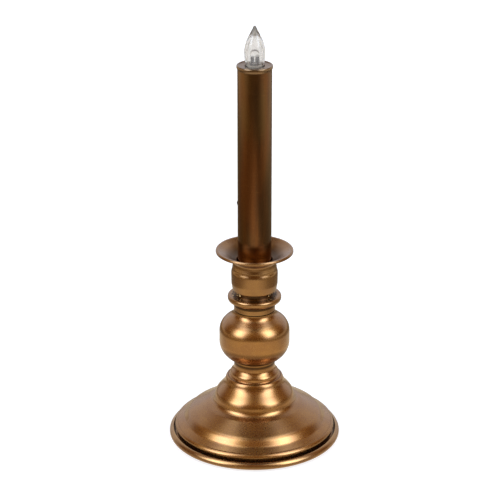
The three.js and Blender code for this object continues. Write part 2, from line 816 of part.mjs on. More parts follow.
function bulbInsulator() {
  const low = shellBottom - BULB_INSULATOR_H;
  const foot = BULB_TIP_R + 0.9;
  return turned([[0, low], [foot, low], [SCREW_SHELL_R - 0.55, shellBottom], [0, shellBottom]], 24);
}

const leadX = 1.27; // leads, from the bulb's middle
const leadHalf = 0.25;
const postGap = 0.35; // flat posts, from the bulb's middle
const leadFoot = shellBottom + 1.0;
const postTop = plugTop + 5.7;

// Plug: fills the screw shell and carries the lamp, with a way through for each lead
function bulbPlug() {
  const low = SCREW_SHELL_R - SCREW_SHELL_T - FIT;
  const high = SCREW_SHELL_R - LENS_WALL - FIT;
  const body = turned([
    [0, shellBottom],
    [low, shellBottom],
    [low, lensFoot - 0.3],
    [high, lensFoot - 0.3],
    [high, plugTop],
    [0, plugTop],
  ], 24);
  const ways = [-1, 1].map((s) => {
    const x = s * leadX;
    const w = leadHalf + FIT;
    return block(x - w, x + w, -w, w, leadFoot - FIT, plugTop + 1);
  });
  return carve([body], ways);
}

// The two leads: a thin leg through the plug, and a flat post inside the lamp's body
function lampLead(side, width) {
  const x = side * leadX;
  const inner = side * postGap;
  const outer = side * (postGap + width);
  const leg = block(x - leadHalf, x + leadHalf, -leadHalf, leadHalf, leadFoot, plugTop + 1.5);
  const post = block(Math.min(inner, outer), Math.max(inner, outer), -0.3, 0.3, plugTop + 1.2, postTop);
  return carve([leg, post]);
}

const anodeWidth = 1.3;
const cathodeWidth = 1.65;

function lampBody() {
  const outer = turned([
    [0, plugTop],
    [LAMP_R + LAMP_FLANGE, plugTop],
    [LAMP_R + LAMP_FLANGE, plugTop + 1.0],
    [LAMP_R, plugTop + 1.0],
    ...ellipseArc(0, plugTop + LAMP_L - LAMP_R, LAMP_R, LAMP_R, 0, 90, 4),
  ], 20);
  const rooms = [[-1, anodeWidth], [1, cathodeWidth]].map(([side, width]) => {
    const near = side * (postGap - 0.2);
    const far = side * (postGap + width + 0.2);
    return block(Math.min(near, far), Math.max(near, far), -0.55, 0.55, plugTop - 1, postTop + FIT);
  });
  return carve([outer], rooms);
}

// Wires inside the holder, as points chosen by hand
function wire(points, steps) {
  const curve = new THREE.CatmullRomCurve3(points.map((p) => new THREE.Vector3(...p)), false, "centripetal");
  return alongCurve(curve, WIRE_R, steps, 8);
}

const boardWireX = BOARD_T / 2 + WIRE_R + 0.1;
const wireTop = boardBottom + 4;
const socketBottom = socketTop - SOCKET_H;
const tabWireX = tabEnd + 0.3 + WIRE_R;
const terminalTop = housingTop + 1.9;
const overCells = cellZ + CELL_R + WIRE_R;
const besideCells = CELL_PITCH + CELL_R + 0.35;
const rodMiddle = (rodBottom + rodTop) / 2;

// Assembly, from the table up
piece("foot_ring", footRing(), bronze);
piece("base_dome", baseDome(), bronze);
piece("battery_tray", batteryTray(), blackPlastic);
piece("battery_door", batteryDoor(), blackPlastic);
onCircle(FOOT_PAD_COUNT, plateR - FOOT_PAD_R - 1.2, 0, (i, x, y) => {
  piece("rubber_foot_" + i, bar(FOOT_PAD_R, 0, FOOT_PAD_H, 16).translate(x, y, 0), rubber);
});
onCircle(SCREW_COUNT, screwCircle, 45, (i, x, y) => {
  piece("tray_screw_" + i, trayScrew(x, y), steel);
});
rows.forEach((row, i) => {
  piece("battery_cell_" + (i + 1), cell(row), cellSkin);
  piece("battery_spring_" + (i + 1), alongCurve(new Coil(row), SPRING_WIRE, 20, 5), steel);
});
piece("contact_plate_positive", outputPlate(1, CELL_PITCH), steel);
piece("contact_plate_negative", outputPlate(-1, -CELL_PITCH), steel);
piece("contact_bridge_1", contactPlate(1, -CELL_PITCH - PLATE_HALF, PLATE_HALF), steel);
piece("contact_bridge_2", contactPlate(-1, -PLATE_HALF, CELL_PITCH + PLATE_HALF), steel);
piece("switch_housing", switchHousing(), blackPlastic);
piece("switch_knob", switchKnob(), whitePlastic);

piece("stem_collar", stemCollar(), bronze);
piece("stem_ball", stemBall(), bronze);
piece("stem_ring", stemRing(), bronze);
piece("candle_cup", candleCup(), bronze);
piece("drip_pan", dripPan(), bronze);
piece("tie_rod", collar(ROD_BORE, ROD_R, rodBottom, rodTop, 24), steel);
piece("rod_washer", collar(ROD_HOLE, WASHER_R, washerTop - WASHER_T, washerTop, 24), steel);
piece("rod_nut_lower", hexNut(washerTop - WASHER_T - NUT_H), steel);
piece("rod_nut_upper", hexNut(tubeBottom), steel);

piece("tube_foot", tubeFoot(), whitePlastic);
piece("candle_tube", candleTube(), darkBronze);
piece("tube_cap", tubeCap(), bronze);
const boardHalf = BOARD_W / 2;
const boardTop = boardBottom + BOARD_L;
const board = block(-BOARD_T / 2, BOARD_T / 2, -boardHalf, boardHalf, boardBottom, boardTop);
piece("circuit_board", board, boardGreen);
piece("light_sensor", lightSensor(), sensorTint);
const chipBottom = boardBottom + 18;
piece("timer_chip", block(BOARD_T / 2, BOARD_T / 2 + 1.5, -2, 2, chipBottom, chipBottom + 5), blackPlastic);

piece("socket_body", socketBody(), whitePlastic);
const socketShellIn = SCREW_SHELL_R + FIT;
piece("socket_shell", collar(socketShellIn, SOCKET_BORE - FIT, socketFloor, socketTop + 1.4, 24), brass);
piece("contact_plunger", contactPlunger(), brass);
piece("contact_spring", alongCurve(new StraightCoil(), 0.22, 28, 5), steel);
piece("bulb_shell", bulbShell(), brass);
piece("bulb_insulator", bulbInsulator(), blackPlastic);
piece("bulb_contact", bar(BULB_TIP_R, bulbTipZ, bulbTipZ + BULB_TIP_H, 16), brass);
piece("bulb_plug", bulbPlug(), whitePlastic);
piece("bulb_lens", bulbLens(), clear);
piece("lamp_body", lampBody(), clear);
piece("lamp_anode", lampLead(-1, anodeWidth), steel);
piece("lamp_cathode", lampLead(1, cathodeWidth), steel);

piece("wire_battery_board", wire([
  [-tabWireX, -CELL_PITCH, tabZ],
  [-tabWireX + 0.2, -CELL_PITCH + 2.4, tabZ + 2.4],
  [-bayHalf + 1, -CELL_PITCH / 2 - 1.7, overCells - 1.5],
  [-bayHalf * 2 / 3, -CELL_PITCH / 2, overCells],
  [-bayHalf * 0.3, -CELL_PITCH / 4, (overCells + rodBottom) / 2 - 1.8],
  [-boardWireX, -0.6, rodBottom - 2.5],
  [-boardWireX, 0, rodBottom + 3],
  [-boardWireX, 0, rodMiddle],
  [-boardWireX, 0, rodTop],
  [-boardWireX, 0, wireTop],
], 24), blackWire);
piece("wire_battery_switch", wire([
  [tabWireX, CELL_PITCH, tabZ],
  [tabWireX - 0.3, CELL_PITCH + 2.4, tabZ + 2.9],
  [bayHalf - 3, besideCells, overCells - 1.9],
  [bayHalf * 0.37, (besideCells + SWITCH_Y) / 2 + 0.4, overCells - 2.7],
  [3.4, SWITCH_Y - 1, terminalTop + 2.9],
  [2.5, SWITCH_Y, terminalTop],
], 14), redWire);
piece("wire_switch_board", wire([
  [0, SWITCH_Y, terminalTop],
  [0, SWITCH_Y - 0.6, terminalTop + 2.5],
  [0.5, SWITCH_Y - 6, overCells - 2.1],
  [1, CELL_PITCH + 2.4, overCells + 2.3],
  [boardWireX, CELL_PITCH / 2, rodBottom - 6.6],
  [boardWireX, 0.8, rodBottom - 2.5],
  [boardWireX, 0, rodBottom + 3],
  [boardWireX, 0, rodMiddle],
  [boardWireX, 0, rodTop],
  [boardWireX, 0, wireTop],
], 24), redWire);
[-1, 1].forEach((side, i) => {
  piece("wire_lamp_" + (i + 1), wire([
    [side * boardWireX, 4, boardTop - 8],
    [side * boardWireX, 4, boardTop],
    [side * 2.8, 3, boardTop + 14],
    [side * 4, 0, socketBottom - 14],
    [side * 4, 0, socketBottom - 0.3],
  ], 10), side > 0 ? redWire : blackWire);
});

export default candle;
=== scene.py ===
# %% [markdown]
# # A battery window candle on a turned bronze holder
#
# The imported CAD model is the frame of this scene: it says where every piece sits and how it moves.
# Here each piece gets the fine shape and the finish of the real one. All work is in the CAD's own
# place and size.

# %% Load the frame
import json
import math

import bpy
import numpy as np
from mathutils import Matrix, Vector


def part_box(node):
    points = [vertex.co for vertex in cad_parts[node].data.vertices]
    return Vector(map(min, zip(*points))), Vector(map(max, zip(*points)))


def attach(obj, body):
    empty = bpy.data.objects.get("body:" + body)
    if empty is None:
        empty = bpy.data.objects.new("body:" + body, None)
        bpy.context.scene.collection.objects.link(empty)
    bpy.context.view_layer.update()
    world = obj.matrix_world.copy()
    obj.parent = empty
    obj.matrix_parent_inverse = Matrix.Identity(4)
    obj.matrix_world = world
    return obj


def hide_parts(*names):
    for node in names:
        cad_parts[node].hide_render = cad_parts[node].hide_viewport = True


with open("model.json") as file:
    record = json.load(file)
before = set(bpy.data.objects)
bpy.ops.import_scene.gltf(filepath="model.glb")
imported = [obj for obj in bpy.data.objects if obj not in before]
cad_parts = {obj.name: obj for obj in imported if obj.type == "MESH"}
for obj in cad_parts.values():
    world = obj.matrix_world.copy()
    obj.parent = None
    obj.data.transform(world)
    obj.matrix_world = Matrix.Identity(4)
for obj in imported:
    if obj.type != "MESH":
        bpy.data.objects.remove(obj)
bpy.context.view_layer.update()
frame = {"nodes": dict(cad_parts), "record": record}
MM = 0.001
scene = bpy.context.scene


def new_object(name, data):
    """An object at the origin, linked to the scene."""
    thing = bpy.data.objects.new(name, data)
    scene.collection.objects.link(thing)
    return thing


# %% [markdown]
# ## Surfaces as arrays
#
# Nearly every piece of a candle holder comes off a lathe, so its shape is one profile carried round
# an axis. Blender could do that with a Screw modifier, but a worked-out grid of points gives exact
# control of each fillet. It also lets us keep a number per point, such as how hollow the metal is
# there, for the finish to use later.

# %% Skin: points and faces before they become a mesh
class Skin:
    """A closed surface in millimetres: points (n, 3), faces as index arrays, and a bend per point."""

    def __init__(self, points, faces, bend=None):
        self.points = points
        self.faces = faces
        self.bend = np.zeros(len(points)) if bend is None else bend
        if self.volume() < 0:
            self.faces = [block[:, ::-1] for block in faces]

    def volume(self):
        """A sixth of the sum of a . (b x c) over all triangles a, b, c: positive if faces point out."""
        total = 0.0
        for block in self.faces:
            for k in range(1, block.shape[1] - 1):
                a, b, c = (self.points[block[:, j]] for j in (0, k, k + 1))
                total += np.einsum("ij,ij->", a, np.cross(b, c)) / 6
        return total

    def moved(self, offset=(0, 0, 0), turn=None):
        """Every point p becomes turn @ p + offset."""
        spun = self.points if turn is None else self.points @ np.array(turn, float).T
        return Skin(spun + np.array(offset, float), self.faces, self.bend)


def strips(low, high):
    """Faces between rows of points: four neighbours make one, and the columns always close up."""
    return np.stack([low, np.roll(low, -1, -1), np.roll(high, -1, -1), high], -1)


def woven(points, bend=None, round_trip=False):
    """Faces for a grid of points (rows, columns, 3).

    With round_trip the rows close up too. Otherwise the first and the last row close the ends, as a
    fan of triangles round one point where the row has shrunk to the axis, or else as one flat face.
    """
    rows, columns = points.shape[:2]
    index = np.arange(rows * columns).reshape(rows, columns)
    flat = points.reshape(-1, 3)
    tight = np.ptp(points, axis=1).max(axis=1) < 1e-6
    index[tight] = index[tight][:, :1]
    low = index if round_trip else index[:-1]
    high = np.roll(index, -1, 0) if round_trip else index[1:]
    quads = strips(low, high).reshape(-1, 4)
    point_low = quads[:, 0] == quads[:, 1]
    point_high = quads[:, 2] == quads[:, 3]
    faces = [quads[~point_low & ~point_high], quads[point_low][:, 1:], quads[point_high][:, :3]]
    if not round_trip:
        faces += [index[end][None, ::step] for end, step in ((0, -1), (-1, 1)) if not tight[end]]
    used = np.unique(np.concatenate([block.ravel() for block in faces]))
    renumber = np.zeros(rows * columns, int)
    renumber[used] = np.arange(len(used))
    kept = None if bend is None else bend.ravel()[used]
    return Skin(flat[used], [renumber[block] for block in faces if len(block)], kept)


# %% [markdown]
# ## Profiles
#
# A turner draws a profile as corners and then rounds them. The same is done here: each corner may
# carry a fillet. Straight stretches are cut into short steps as well, since smooth shading would
# otherwise bleed along them.

# %% Profiles from corners, arcs and measured points
def spaced(points, gap, closed):
    """Cuts each step longer than gap into equal parts: start + (end - start) * share."""
    ends = np.roll(points, -1, 0) if closed else points[1:]
    starts = points if closed else points[:-1]
    parts = np.maximum(1, np.ceil(np.linalg.norm(ends - starts, axis=1) / gap)).astype(int)
    which = np.repeat(np.arange(len(parts)), parts)
    share = (np.arange(which.size) - np.repeat(np.cumsum(parts) - parts, parts)) / parts[which]
    out = starts[which] + (ends - starts)[which] * share[:, None]
    return out if closed else np.vstack([out, points[-1:]])


def cornered(corners, closed=False, step=6.0, gap=0.8):
    """Profile points (r, z) from corners (r, z) or (r, z, fillet).

    Where the sides meet at the angle 2h, a fillet of radius f starts f / tan(h) from the corner and
    turns about a centre that lies f / sin(h) from it on the bisector, with a point every step degrees.
    """
    spots = np.array([corner[:2] for corner in corners], float)
    out = []
    for i, corner in enumerate(corners):
        here = spots[i]
        end = not closed and i in (0, len(corners) - 1)
        if len(corner) < 3 or end:
            out.append(here[None])
            continue
        sides = np.array([spots[i - 1], spots[(i + 1) % len(spots)]]) - here
        lengths = np.linalg.norm(sides, axis=1)
        back, ahead = sides / lengths[:, None]
        half = math.acos(np.clip(back @ ahead, -1, 1)) / 2
        reach = min(corner[2] / math.tan(half), 0.49 * lengths.min())
        radius = reach * math.tan(half)
        centre = here + (back + ahead) / np.linalg.norm(back + ahead) * radius / math.sin(half)
        first = here + back * reach - centre
        turn = math.pi - 2 * half
        turn *= math.copysign(1, first[0] * (ahead @ [0, 1]) - first[1] * (ahead @ [1, 0]))
        angle = np.linspace(0, turn, max(3, round(math.degrees(abs(turn)) / step)))
        c, s = np.cos(angle), np.sin(angle)
        spin = np.stack([c, -s, s, c], -1).reshape(-1, 2, 2)
        out.append(centre + spin @ first)
    return spaced(np.vstack(out), gap, closed)


def oval(centre_r, centre_z, half_r, half_z, start, end, count=24):
    """Points (centre_r + half_r cos t, centre_z + half_z sin t) for t from start to end degrees."""
    t = np.radians(np.linspace(start, end, count))
    return np.stack([centre_r + half_r * np.cos(t), centre_z + half_z * np.sin(t)], -1)


def through(marks, per=8):
    """A smooth line through the marks: between two of them, the cubic with their places and with slopes
    that are the average of the steps on both sides."""
    marks = np.array(marks, float)
    length = np.linalg.norm(np.diff(marks, axis=0), axis=1)
    knots = np.concatenate([[0], np.cumsum(length)])
    slopes = np.gradient(marks, knots, axis=0, edge_order=2)
    share = np.arange(per)[:, None] / per
    h = length[:, None, None]
    a, b, c, d = marks[:-1, None], marks[1:, None], slopes[:-1, None] * h, slopes[1:, None] * h
    body = a + share * c + share**2 * (3 * (b - a) - 2 * c - d) + share**3 * (2 * (a - b) + c + d)
    return np.vstack([body.reshape(-1, marks.shape[1]), marks[-1:]])


# %% [markdown]
# ## How much the metal bends
#
# Handling wears antique plating bright on its edges, and leaves it dark in its hollows. To know
# which is which, the turning of the profile is summed up around each point, and kept with the
# points. Blender has a Pointiness output for this, but it depends on the density of the mesh, and
# ours is uneven.

# %% Bend of a profile, and the lathe
def bend_along(profile, closed, reach=0.8):
    """Turning angle per millimetre round each point, weighted by exp(-(distance / reach)^2).

    It is positive on an edge and negative in a hollow, if the metal is on the profile's left.
    """
    step = np.diff(profile, axis=0, append=profile[:1])
    length = np.linalg.norm(step, axis=1)
    heading = np.arctan2(step[:, 1], step[:, 0])
    turn = (heading - np.roll(heading, 1) + np.pi) % (2 * np.pi) - np.pi
    if not closed:
        turn[[0, -1]] = 0
    place = np.concatenate([[0], np.cumsum(length)[:-1]])
    apart = np.abs(place[:, None] - place[None])
    if closed:
        apart = np.minimum(apart, length.sum() - apart)
    weight = np.exp(-((apart / reach) ** 2)) / (reach * math.sqrt(math.pi))
    r, z = profile.T
    area = np.sum(r * np.roll(z, -1) - np.roll(r, -1) * z)
    return weight @ turn * math.copysign(1, area)


def around(r, z, turns):
    """The point (r cos u, r sin u, z) for each of the angles u round the axis, one row for each r."""
    u = np.linspace(0, 2 * np.pi, turns, endpoint=False)
    x = r * np.cos(u)
    return np.stack([x, r * np.sin(u), np.broadcast_to(z, x.shape)], -1)


# How strongly painted shade darkens a groove, a recess or the underside of a piece.
GROOVE_SHADE = 1.6


def lathe(profile, closed=True, turns=144, painted_shade=()):
    """Carries a profile of points (r, z) round the axis.

    Each spot of painted shade (r, z, reach) takes GROOVE_SHADE * exp(-(distance / reach)^2) off the
    bend, so that the finish paints shade there, as in a groove or recess where little light reaches.
    """
    points = around(profile[:, :1], profile[:, 1:], turns)
    bend = bend_along(profile, closed)
    for shade_spot in painted_shade:
        apart = np.linalg.norm(profile - shade_spot[:2], axis=1)
        bend = bend - GROOVE_SHADE * np.exp(-(apart / shade_spot[2]) ** 2)
    bend = np.broadcast_to(bend[:, None], points.shape[:2])
    return woven(points, bend, round_trip=closed)


test_ring = lathe(cornered([(2, 0), (3, 0, 0.2), (3, 1, 0.2), (2, 1)], closed=True))
print("a test ring holds", round(test_ring.volume(), 2), "mm3, close to", round(5 * math.pi, 2))

# %% [markdown]
# ## Boxes, pipes and screws
#
# A moulded part has no sharp edges: its edges are round by a few tenths of a millimetre, and catch
# the light. A box is rounded here by pushing out a smaller box by the radius. Wires and springs are
# a circle carried along a line.

# %% Rounded boxes
def edge_lines(low, high, radius, extra, arc=4):
    """Grid lines over one side of a box: on the rounded strips they stand at radius * tan(angle)."""
    out = radius * np.tan(np.radians(np.linspace(45, 0, arc + 1)))
    lines = np.concatenate([low + radius - out, high - radius + out[::-1], np.array(extra, float)])
    return np.unique(np.round(lines, 6))


def rounded_box(low, high, radius=0.2, extra=((), (), ())):
    """Each point q on a box goes to c + radius * (q - c) / |q - c|; c is q held in the smaller box."""
    low, high = np.array(low, float), np.array(high, float)
    lines = [edge_lines(low[i], high[i], radius, extra[i]) for i in range(3)]
    points, faces, count = [], [], 0
    for axis in range(3):
        first, second = (axis + 1) % 3, (axis + 2) % 3
        for side in (low, high):
            a, b = np.meshgrid(lines[first], lines[second], indexing="ij")
            sheet = np.empty(a.shape + (3,))
            sheet[..., first], sheet[..., second], sheet[..., axis] = a, b, side[axis]
            index = np.arange(a.size).reshape(a.shape) + count
            quads = np.stack([index[:-1, :-1], index[1:, :-1], index[1:, 1:], index[:-1, 1:]], -1)
            quads = quads.reshape(-1, 4)
            faces.append(quads if side is high else quads[:, ::-1])
            points.append(sheet.reshape(-1, 3))
            count += a.size
    merged, index = np.unique(np.round(np.vstack(points), 5), axis=0, return_inverse=True)
    inner = np.clip(merged, low + radius, high - radius)
    out = merged - inner
    out = radius * out / np.linalg.norm(out, axis=1)[:, None]
    return Skin(inner + out, [index.ravel()[np.vstack(faces)]])


# %% Pipes along a line
def pipe(path, radius, level, sides=12):
    """A circle carried along a path: path + radius * (cos t * n + sin t * b).

    n is the level direction made square to the path's tangent, and b is square to both.
    Two shrinking rings at each end round it off.
    """
    tangent = np.gradient(path, axis=0)
    tangent /= np.linalg.norm(tangent, axis=1)[:, None]
    level = np.array(level, float)
    n = level - (tangent @ level)[:, None] * tangent
    n /= np.linalg.norm(n, axis=1)[:, None]
    b = np.cross(tangent, n)
    t = np.linspace(0, 2 * np.pi, sides, endpoint=False)
    circle = np.cos(t)[None, :, None] * n[:, None] + np.sin(t)[None, :, None] * b[:, None]
    tube = path[:, None] + radius * circle
    lean = np.array([0.0, 0.6, 0.87])[:, None, None]
    round_off = np.sqrt(1 - lean**2)
    head, tail = (path[k] + radius * (round_off * circle[k] + (lean - 0.87) * 0.25 * tangent[k])
                  for k in (0, -1))
    head[-1], tail[-1] = path[0], path[-1]
    return woven(np.concatenate([head[::-1], tube[1:-1], tail]))


def coil(foot, along, across, turns, wide, narrow, steps=36):
    """Points foot + along * s + radius * (cos a * across + sin a * third): as s runs from 0 to 1, the
    angle a runs through the turns and the radius goes from wide to narrow."""
    s = np.linspace(0, 1, round(turns * steps))[:, None]
    along, across = np.array(along, float), np.array(across, float)
    third = np.cross(along / np.linalg.norm(along), across)
    a = 2 * np.pi * turns * s
    radius = wide + (narrow - wide) * s
    return np.array(foot, float) + along * s + radius * (np.cos(a) * across + np.sin(a) * third)


# %% [markdown]
# ## From surfaces to pieces
#
# A piece takes the place of its CAD node and moves with that node's body. The object stays at the
# origin. Shading is smooth everywhere but across real edges, which the angle between two faces
# tells.

# %% Make a piece that stands for a CAD node
record = frame["record"]
body_of = {node: body for body, nodes in record["behaviour"]["bodies"].items() for node in nodes}


def stand_in(node, mesh, finish, crease):
    """Shades a mesh smooth between its real edges, and makes it the piece that replaces the node."""
    mesh.shade_smooth()
    mesh.set_sharp_from_angle(angle=math.radians(crease))
    mesh.materials.append(finish)
    piece = new_object(node + "_finished", mesh)
    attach(piece, body_of[node])
    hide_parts(node)
    print(piece.name, "has", len(mesh.polygons), "faces")


def make_piece(node, skins, finish, crease=32):
    """Joins skins into one mesh in metres, with their bend values as an attribute, for the node."""
    skins = [skins] if isinstance(skins, Skin) else skins
    start = np.cumsum([0] + [len(skin.points) for skin in skins])
    faces = [row for skin, first in zip(skins, start) for block in skin.faces
             for row in (block + first).tolist()]
    mesh = bpy.data.meshes.new(node + "_finished")
    mesh.from_pydata((np.vstack([skin.points for skin in skins]) * MM).tolist(), [], faces)
    layer = mesh.attributes.new("bend", "FLOAT", "POINT")
    bend = np.concatenate([skin.bend for skin in skins])
    layer.data.foreach_set("value", bend.astype(np.float32))
    stand_in(node, mesh, finish, crease)


def turned_piece(node, corners, finish, closed=True, turns=96, painted_shade=(), **rounding):
    """A piece off the lathe whose profile is given by its corners."""
    profile = cornered(corners, closed=closed, **rounding)
    make_piece(node, lathe(profile, closed=closed, turns=turns, painted_shade=painted_shade), finish)


# %% [markdown]
# ## Finishes as expressions
#
# Node trees are easier to read as sums. A small class wraps a socket, so that adding, multiplying
# or comparing two of them makes the Math nodes. Colours go through Mix nodes instead, because a
# Math node would turn them grey.

# %% A socket that can be calculated with
class Value:
    """A number that varies over a surface. Python arithmetic on it adds Math nodes."""

    def __init__(self, finish, socket):
        self.finish = finish
        self.socket = socket

    def math(self, operation, *others):
        return self.finish.add("Math", {"operation": operation}, self, *others)

    def __add__(self, other):
        return self.math("ADD", other)

    def __sub__(self, other):
        return self.math("SUBTRACT", other)

    def __neg__(self):
        return self.math("MULTIPLY", -1.0)

    def __rsub__(self, other):
        return self.finish.add("Math", {"operation": "SUBTRACT"}, other, self)

    def __mul__(self, other):
        return self.math("MULTIPLY", other)

    def __pow__(self, other):
        return self.math("POWER", other)

    __radd__ = __add__
    __rmul__ = __mul__

    def between(self, low, high):
        """0 below low, 1 above high, and a soft step between them."""
        settings = {"interpolation_type": "SMOOTHSTEP"}
        return self.finish.add("MapRange", settings, self, low, high, 0.0, 1.0)


# %% A node tree, and the finish that grows in one
class Nodes:
    """A node tree. add() makes any node: settings first, then its sockets in order or by name."""

    def __init__(self, tree):
        self.tree = tree

    def join(self, value, socket):
        """Links a Value to a socket, or sets the socket to a constant."""
        if isinstance(value, Value):
            self.tree.links.new(value.socket, socket)
        else:
            socket.default_value = value

    def add(self, kind, settings=None, *values, output=0, **named):
        node = self.tree.nodes.new("ShaderNode" + kind)
        for key, setting in (settings or {}).items():
            setattr(node, key, setting)
        for key, value in enumerate(values):
            self.join(value, node.inputs[key])
        for key, value in named.items():
            self.join(value, node.inputs[key.replace("_", " ")])
        return Value(self, node.outputs[output])

    def mix(self, share, first, second):
        """The first colour where share is 0, the second where it is 1."""
        node = self.add("Mix", {"data_type": "RGBA"}, share, output=2)
        for socket, colour in zip((6, 7), (first, second)):
            colour = colour if isinstance(colour, Value) else (*colour, 1)
            self.join(colour, node.socket.node.inputs[socket])
        return node

    def layers(self, colour, *coats):
        """Lays coats (share, colour) over a colour, one after another."""
        for share, coat in coats:
            colour = self.mix(share, colour, coat)
        return colour

    def rays(self, *kinds):
        """1 for the kinds of ray that are named, such as Camera, and 0 for all others."""
        first, *others = [self.add("LightPath", output=f"Is {kind} Ray") for kind in kinds]
        for other in others:
            first = first.math("MAXIMUM", other)
        return first


class Finish(Nodes):
    """A material with one Principled shader, whose sockets are given by name."""

    def __init__(self, name, **constants):
        self.material = bpy.data.materials.new(name)
        self.material.use_nodes = True
        super().__init__(self.material.node_tree)
        self.shader = self.tree.nodes["Principled BSDF"]
        self.place = self.add("TexCoord", output="Object")
        self.feed(**constants)

    def feed(self, **values):
        for key, value in values.items():
            self.join(value, self.shader.inputs[key.replace("_", " ")])

    def axis(self, name):
        """One of the X, Y and Z coordinates of a point, in metres."""
        return self.add("SeparateXYZ", None, self.place, output=name)

    def stretched(self, *scale):
        """The place with its axes scaled: patterns grow longer along an axis whose scale is small."""
        return self.add("Mapping", None, self.place, Scale=scale)

    def noise(self, size_mm, detail=2.0, roughness=0.5, place=None):
        """Soft noise whose lumps are about size_mm across."""
        return self.add("TexNoise", None, Vector=place or self.place, Scale=1 / (size_mm * MM),
                        Detail=detail, Roughness=roughness, output="Fac")

    def bump(self, height, depth_mm, strength=1.0):
        """Raises the surface by the height, feeds that to the shader, and returns the material."""
        normal = self.add("Bump", None, Height=height, Distance=depth_mm * MM, Strength=strength)
        self.feed(Normal=normal)
        return self.material


# %% [markdown]
# ## Antique bronze
#
# The holder is thin metal with a bronze plating under lacquer. Four things make it look old and
# warm. The colour wanders softly between gold and brown. The turning tool has left fine rings. Tiny
# flecks sparkle. Hollows keep their dark patina, while edges are rubbed to a paler gold. Shade is
# also painted in: dark in the grooves and recesses between pieces and round the foot of the tube,
# with painted glints of grit in the recess under the cup.

# %% Bronze in five tones
# Painted glints: bright grit drawn in the recess on the ring only at its left and right, where the
# lamps' highlights fall.
GLINT_GOLD = (0.98, 0.64, 0.27)
GLINT_HEIGHT = (0.0860, 0.0868)
GLINT_SIDE = (0.0065, 0.0080)
TUBE_SHADE_FADE = 0.0008


def bronze(name, deep, warm, pale, rough=0.28, fleck=0.28, glints=0.0, tube_shade=None):
    """Plated metal: deep, warm and pale are its darkest, middle and brightest colours.

    glints is how strongly bright grit is painted as glints in the recess round the foot of the cup,
    only at its left and right ends, where the lamps catch it. tube_shade is two radii between which
    painted shade round the foot of the tube fades out, and the height above which it lies, in metres.
    """
    finish = Finish(name, Metallic=1.0, Coat_Roughness=0.24, Coat_IOR=1.8)
    bend = finish.add("Attribute", {"attribute_name": "bend"}, output="Fac")
    clouds = finish.noise(9.0, 3.0, 0.55)
    grain = finish.noise(0.8, 2.0, 0.6)
    flecks = finish.noise(0.42, 1.0)
    turned = finish.noise(0.9, 2.0, 0.6, place=finish.stretched(0.05, 0.05, 1.0))
    # The dark of the hollows: the patina of curved hollows, together with painted shade in the spots
    # that lathe() marks.
    patina_and_shade = (-bend).between(0.45, 1.40)
    # Painted shade round the foot of the tube in the drip pan: dark inside the inner radius, gone
    # beyond the outer one.
    if tube_shade:
        inner, outer, level = tube_shade
        x, y = finish.axis("X"), finish.axis("Y")
        tube_shaded = 1 - ((x * x + y * y) ** 0.5).between(inner, outer)
        tube_shaded = tube_shaded * finish.axis("Z").between(level, level + TUBE_SHADE_FADE)
        patina_and_shade = patina_and_shade.math("MAXIMUM", tube_shaded * 0.9)
    edge = bend.between(0.5, 2.0)
    spark = flecks.between(0.52, 0.80)
    warmth = clouds.between(0.3, 0.72) * 0.7 + grain * 0.2 + (turned - 0.4) * 0.5
    # The colour of the dark hollows, for patina and painted shade alike.
    patina_shade_colour = [channel * 0.16 for channel in deep]
    body = finish.layers(deep, (warmth, warm), (spark * fleck, pale), (edge * 0.35, pale),
                         (patina_and_shade * (0.75 + 0.3 * grain), patina_shade_colour))
    height = grain * 0.35 + flecks * 0.35 + turned * 0.35
    # Painted glints of grit, only at the left and right of the ring's recess, where the lamps catch it.
    if glints:
        glint_grit = finish.noise(1.3, 1.0, 0.6).between(0.625, 0.655)
        glint = patina_and_shade * glint_grit * finish.axis("Z").between(*GLINT_HEIGHT) * glints
        glint = glint * finish.axis("X").math("ABSOLUTE").between(*GLINT_SIDE)
        body = finish.mix(glint, body, GLINT_GOLD)
        height = height + glint
        finish.feed(Metallic=1 - glint)
    finish.feed(Base_Color=body, Coat_Weight=0.9 - patina_and_shade * 0.7,
                Roughness=rough + (grain - 0.5) * 0.08 + patina_and_shade * 0.12 - edge * 0.03)
    return finish.bump(height, 0.012, 0.75)


gold_bronze = bronze("gold_bronze", (0.355, 0.130, 0.007), (0.49, 0.208, 0.016), (0.82, 0.52, 0.17))
# The ring and cup carry painted glints of grit in the recess between them.
brown_bronze = bronze("brown_bronze", (0.32, 0.130, 0.014), (0.43, 0.195, 0.026), (0.72, 0.48, 0.20),
                      fleck=0.14, glints=0.9)
foot_bronze = bronze("foot_bronze", (0.35, 0.145, 0.018), (0.53, 0.250, 0.036), (0.90, 0.62, 0.24),
                     rough=0.23, fleck=0.18)
cap_bronze = bronze("cap_bronze", (0.17, 0.075, 0.018), (0.30, 0.145, 0.035), (0.66, 0.46, 0.20),
                    fleck=0.16)
# The drip pan's inside is painted darker round the foot of the tube, as shade.
pan_bronze = bronze("pan_bronze", (0.30, 0.125, 0.015), (0.42, 0.190, 0.028), (0.76, 0.46, 0.19),
                    fleck=0.12, tube_shade=(0.0120, 0.0188, 0.1092))


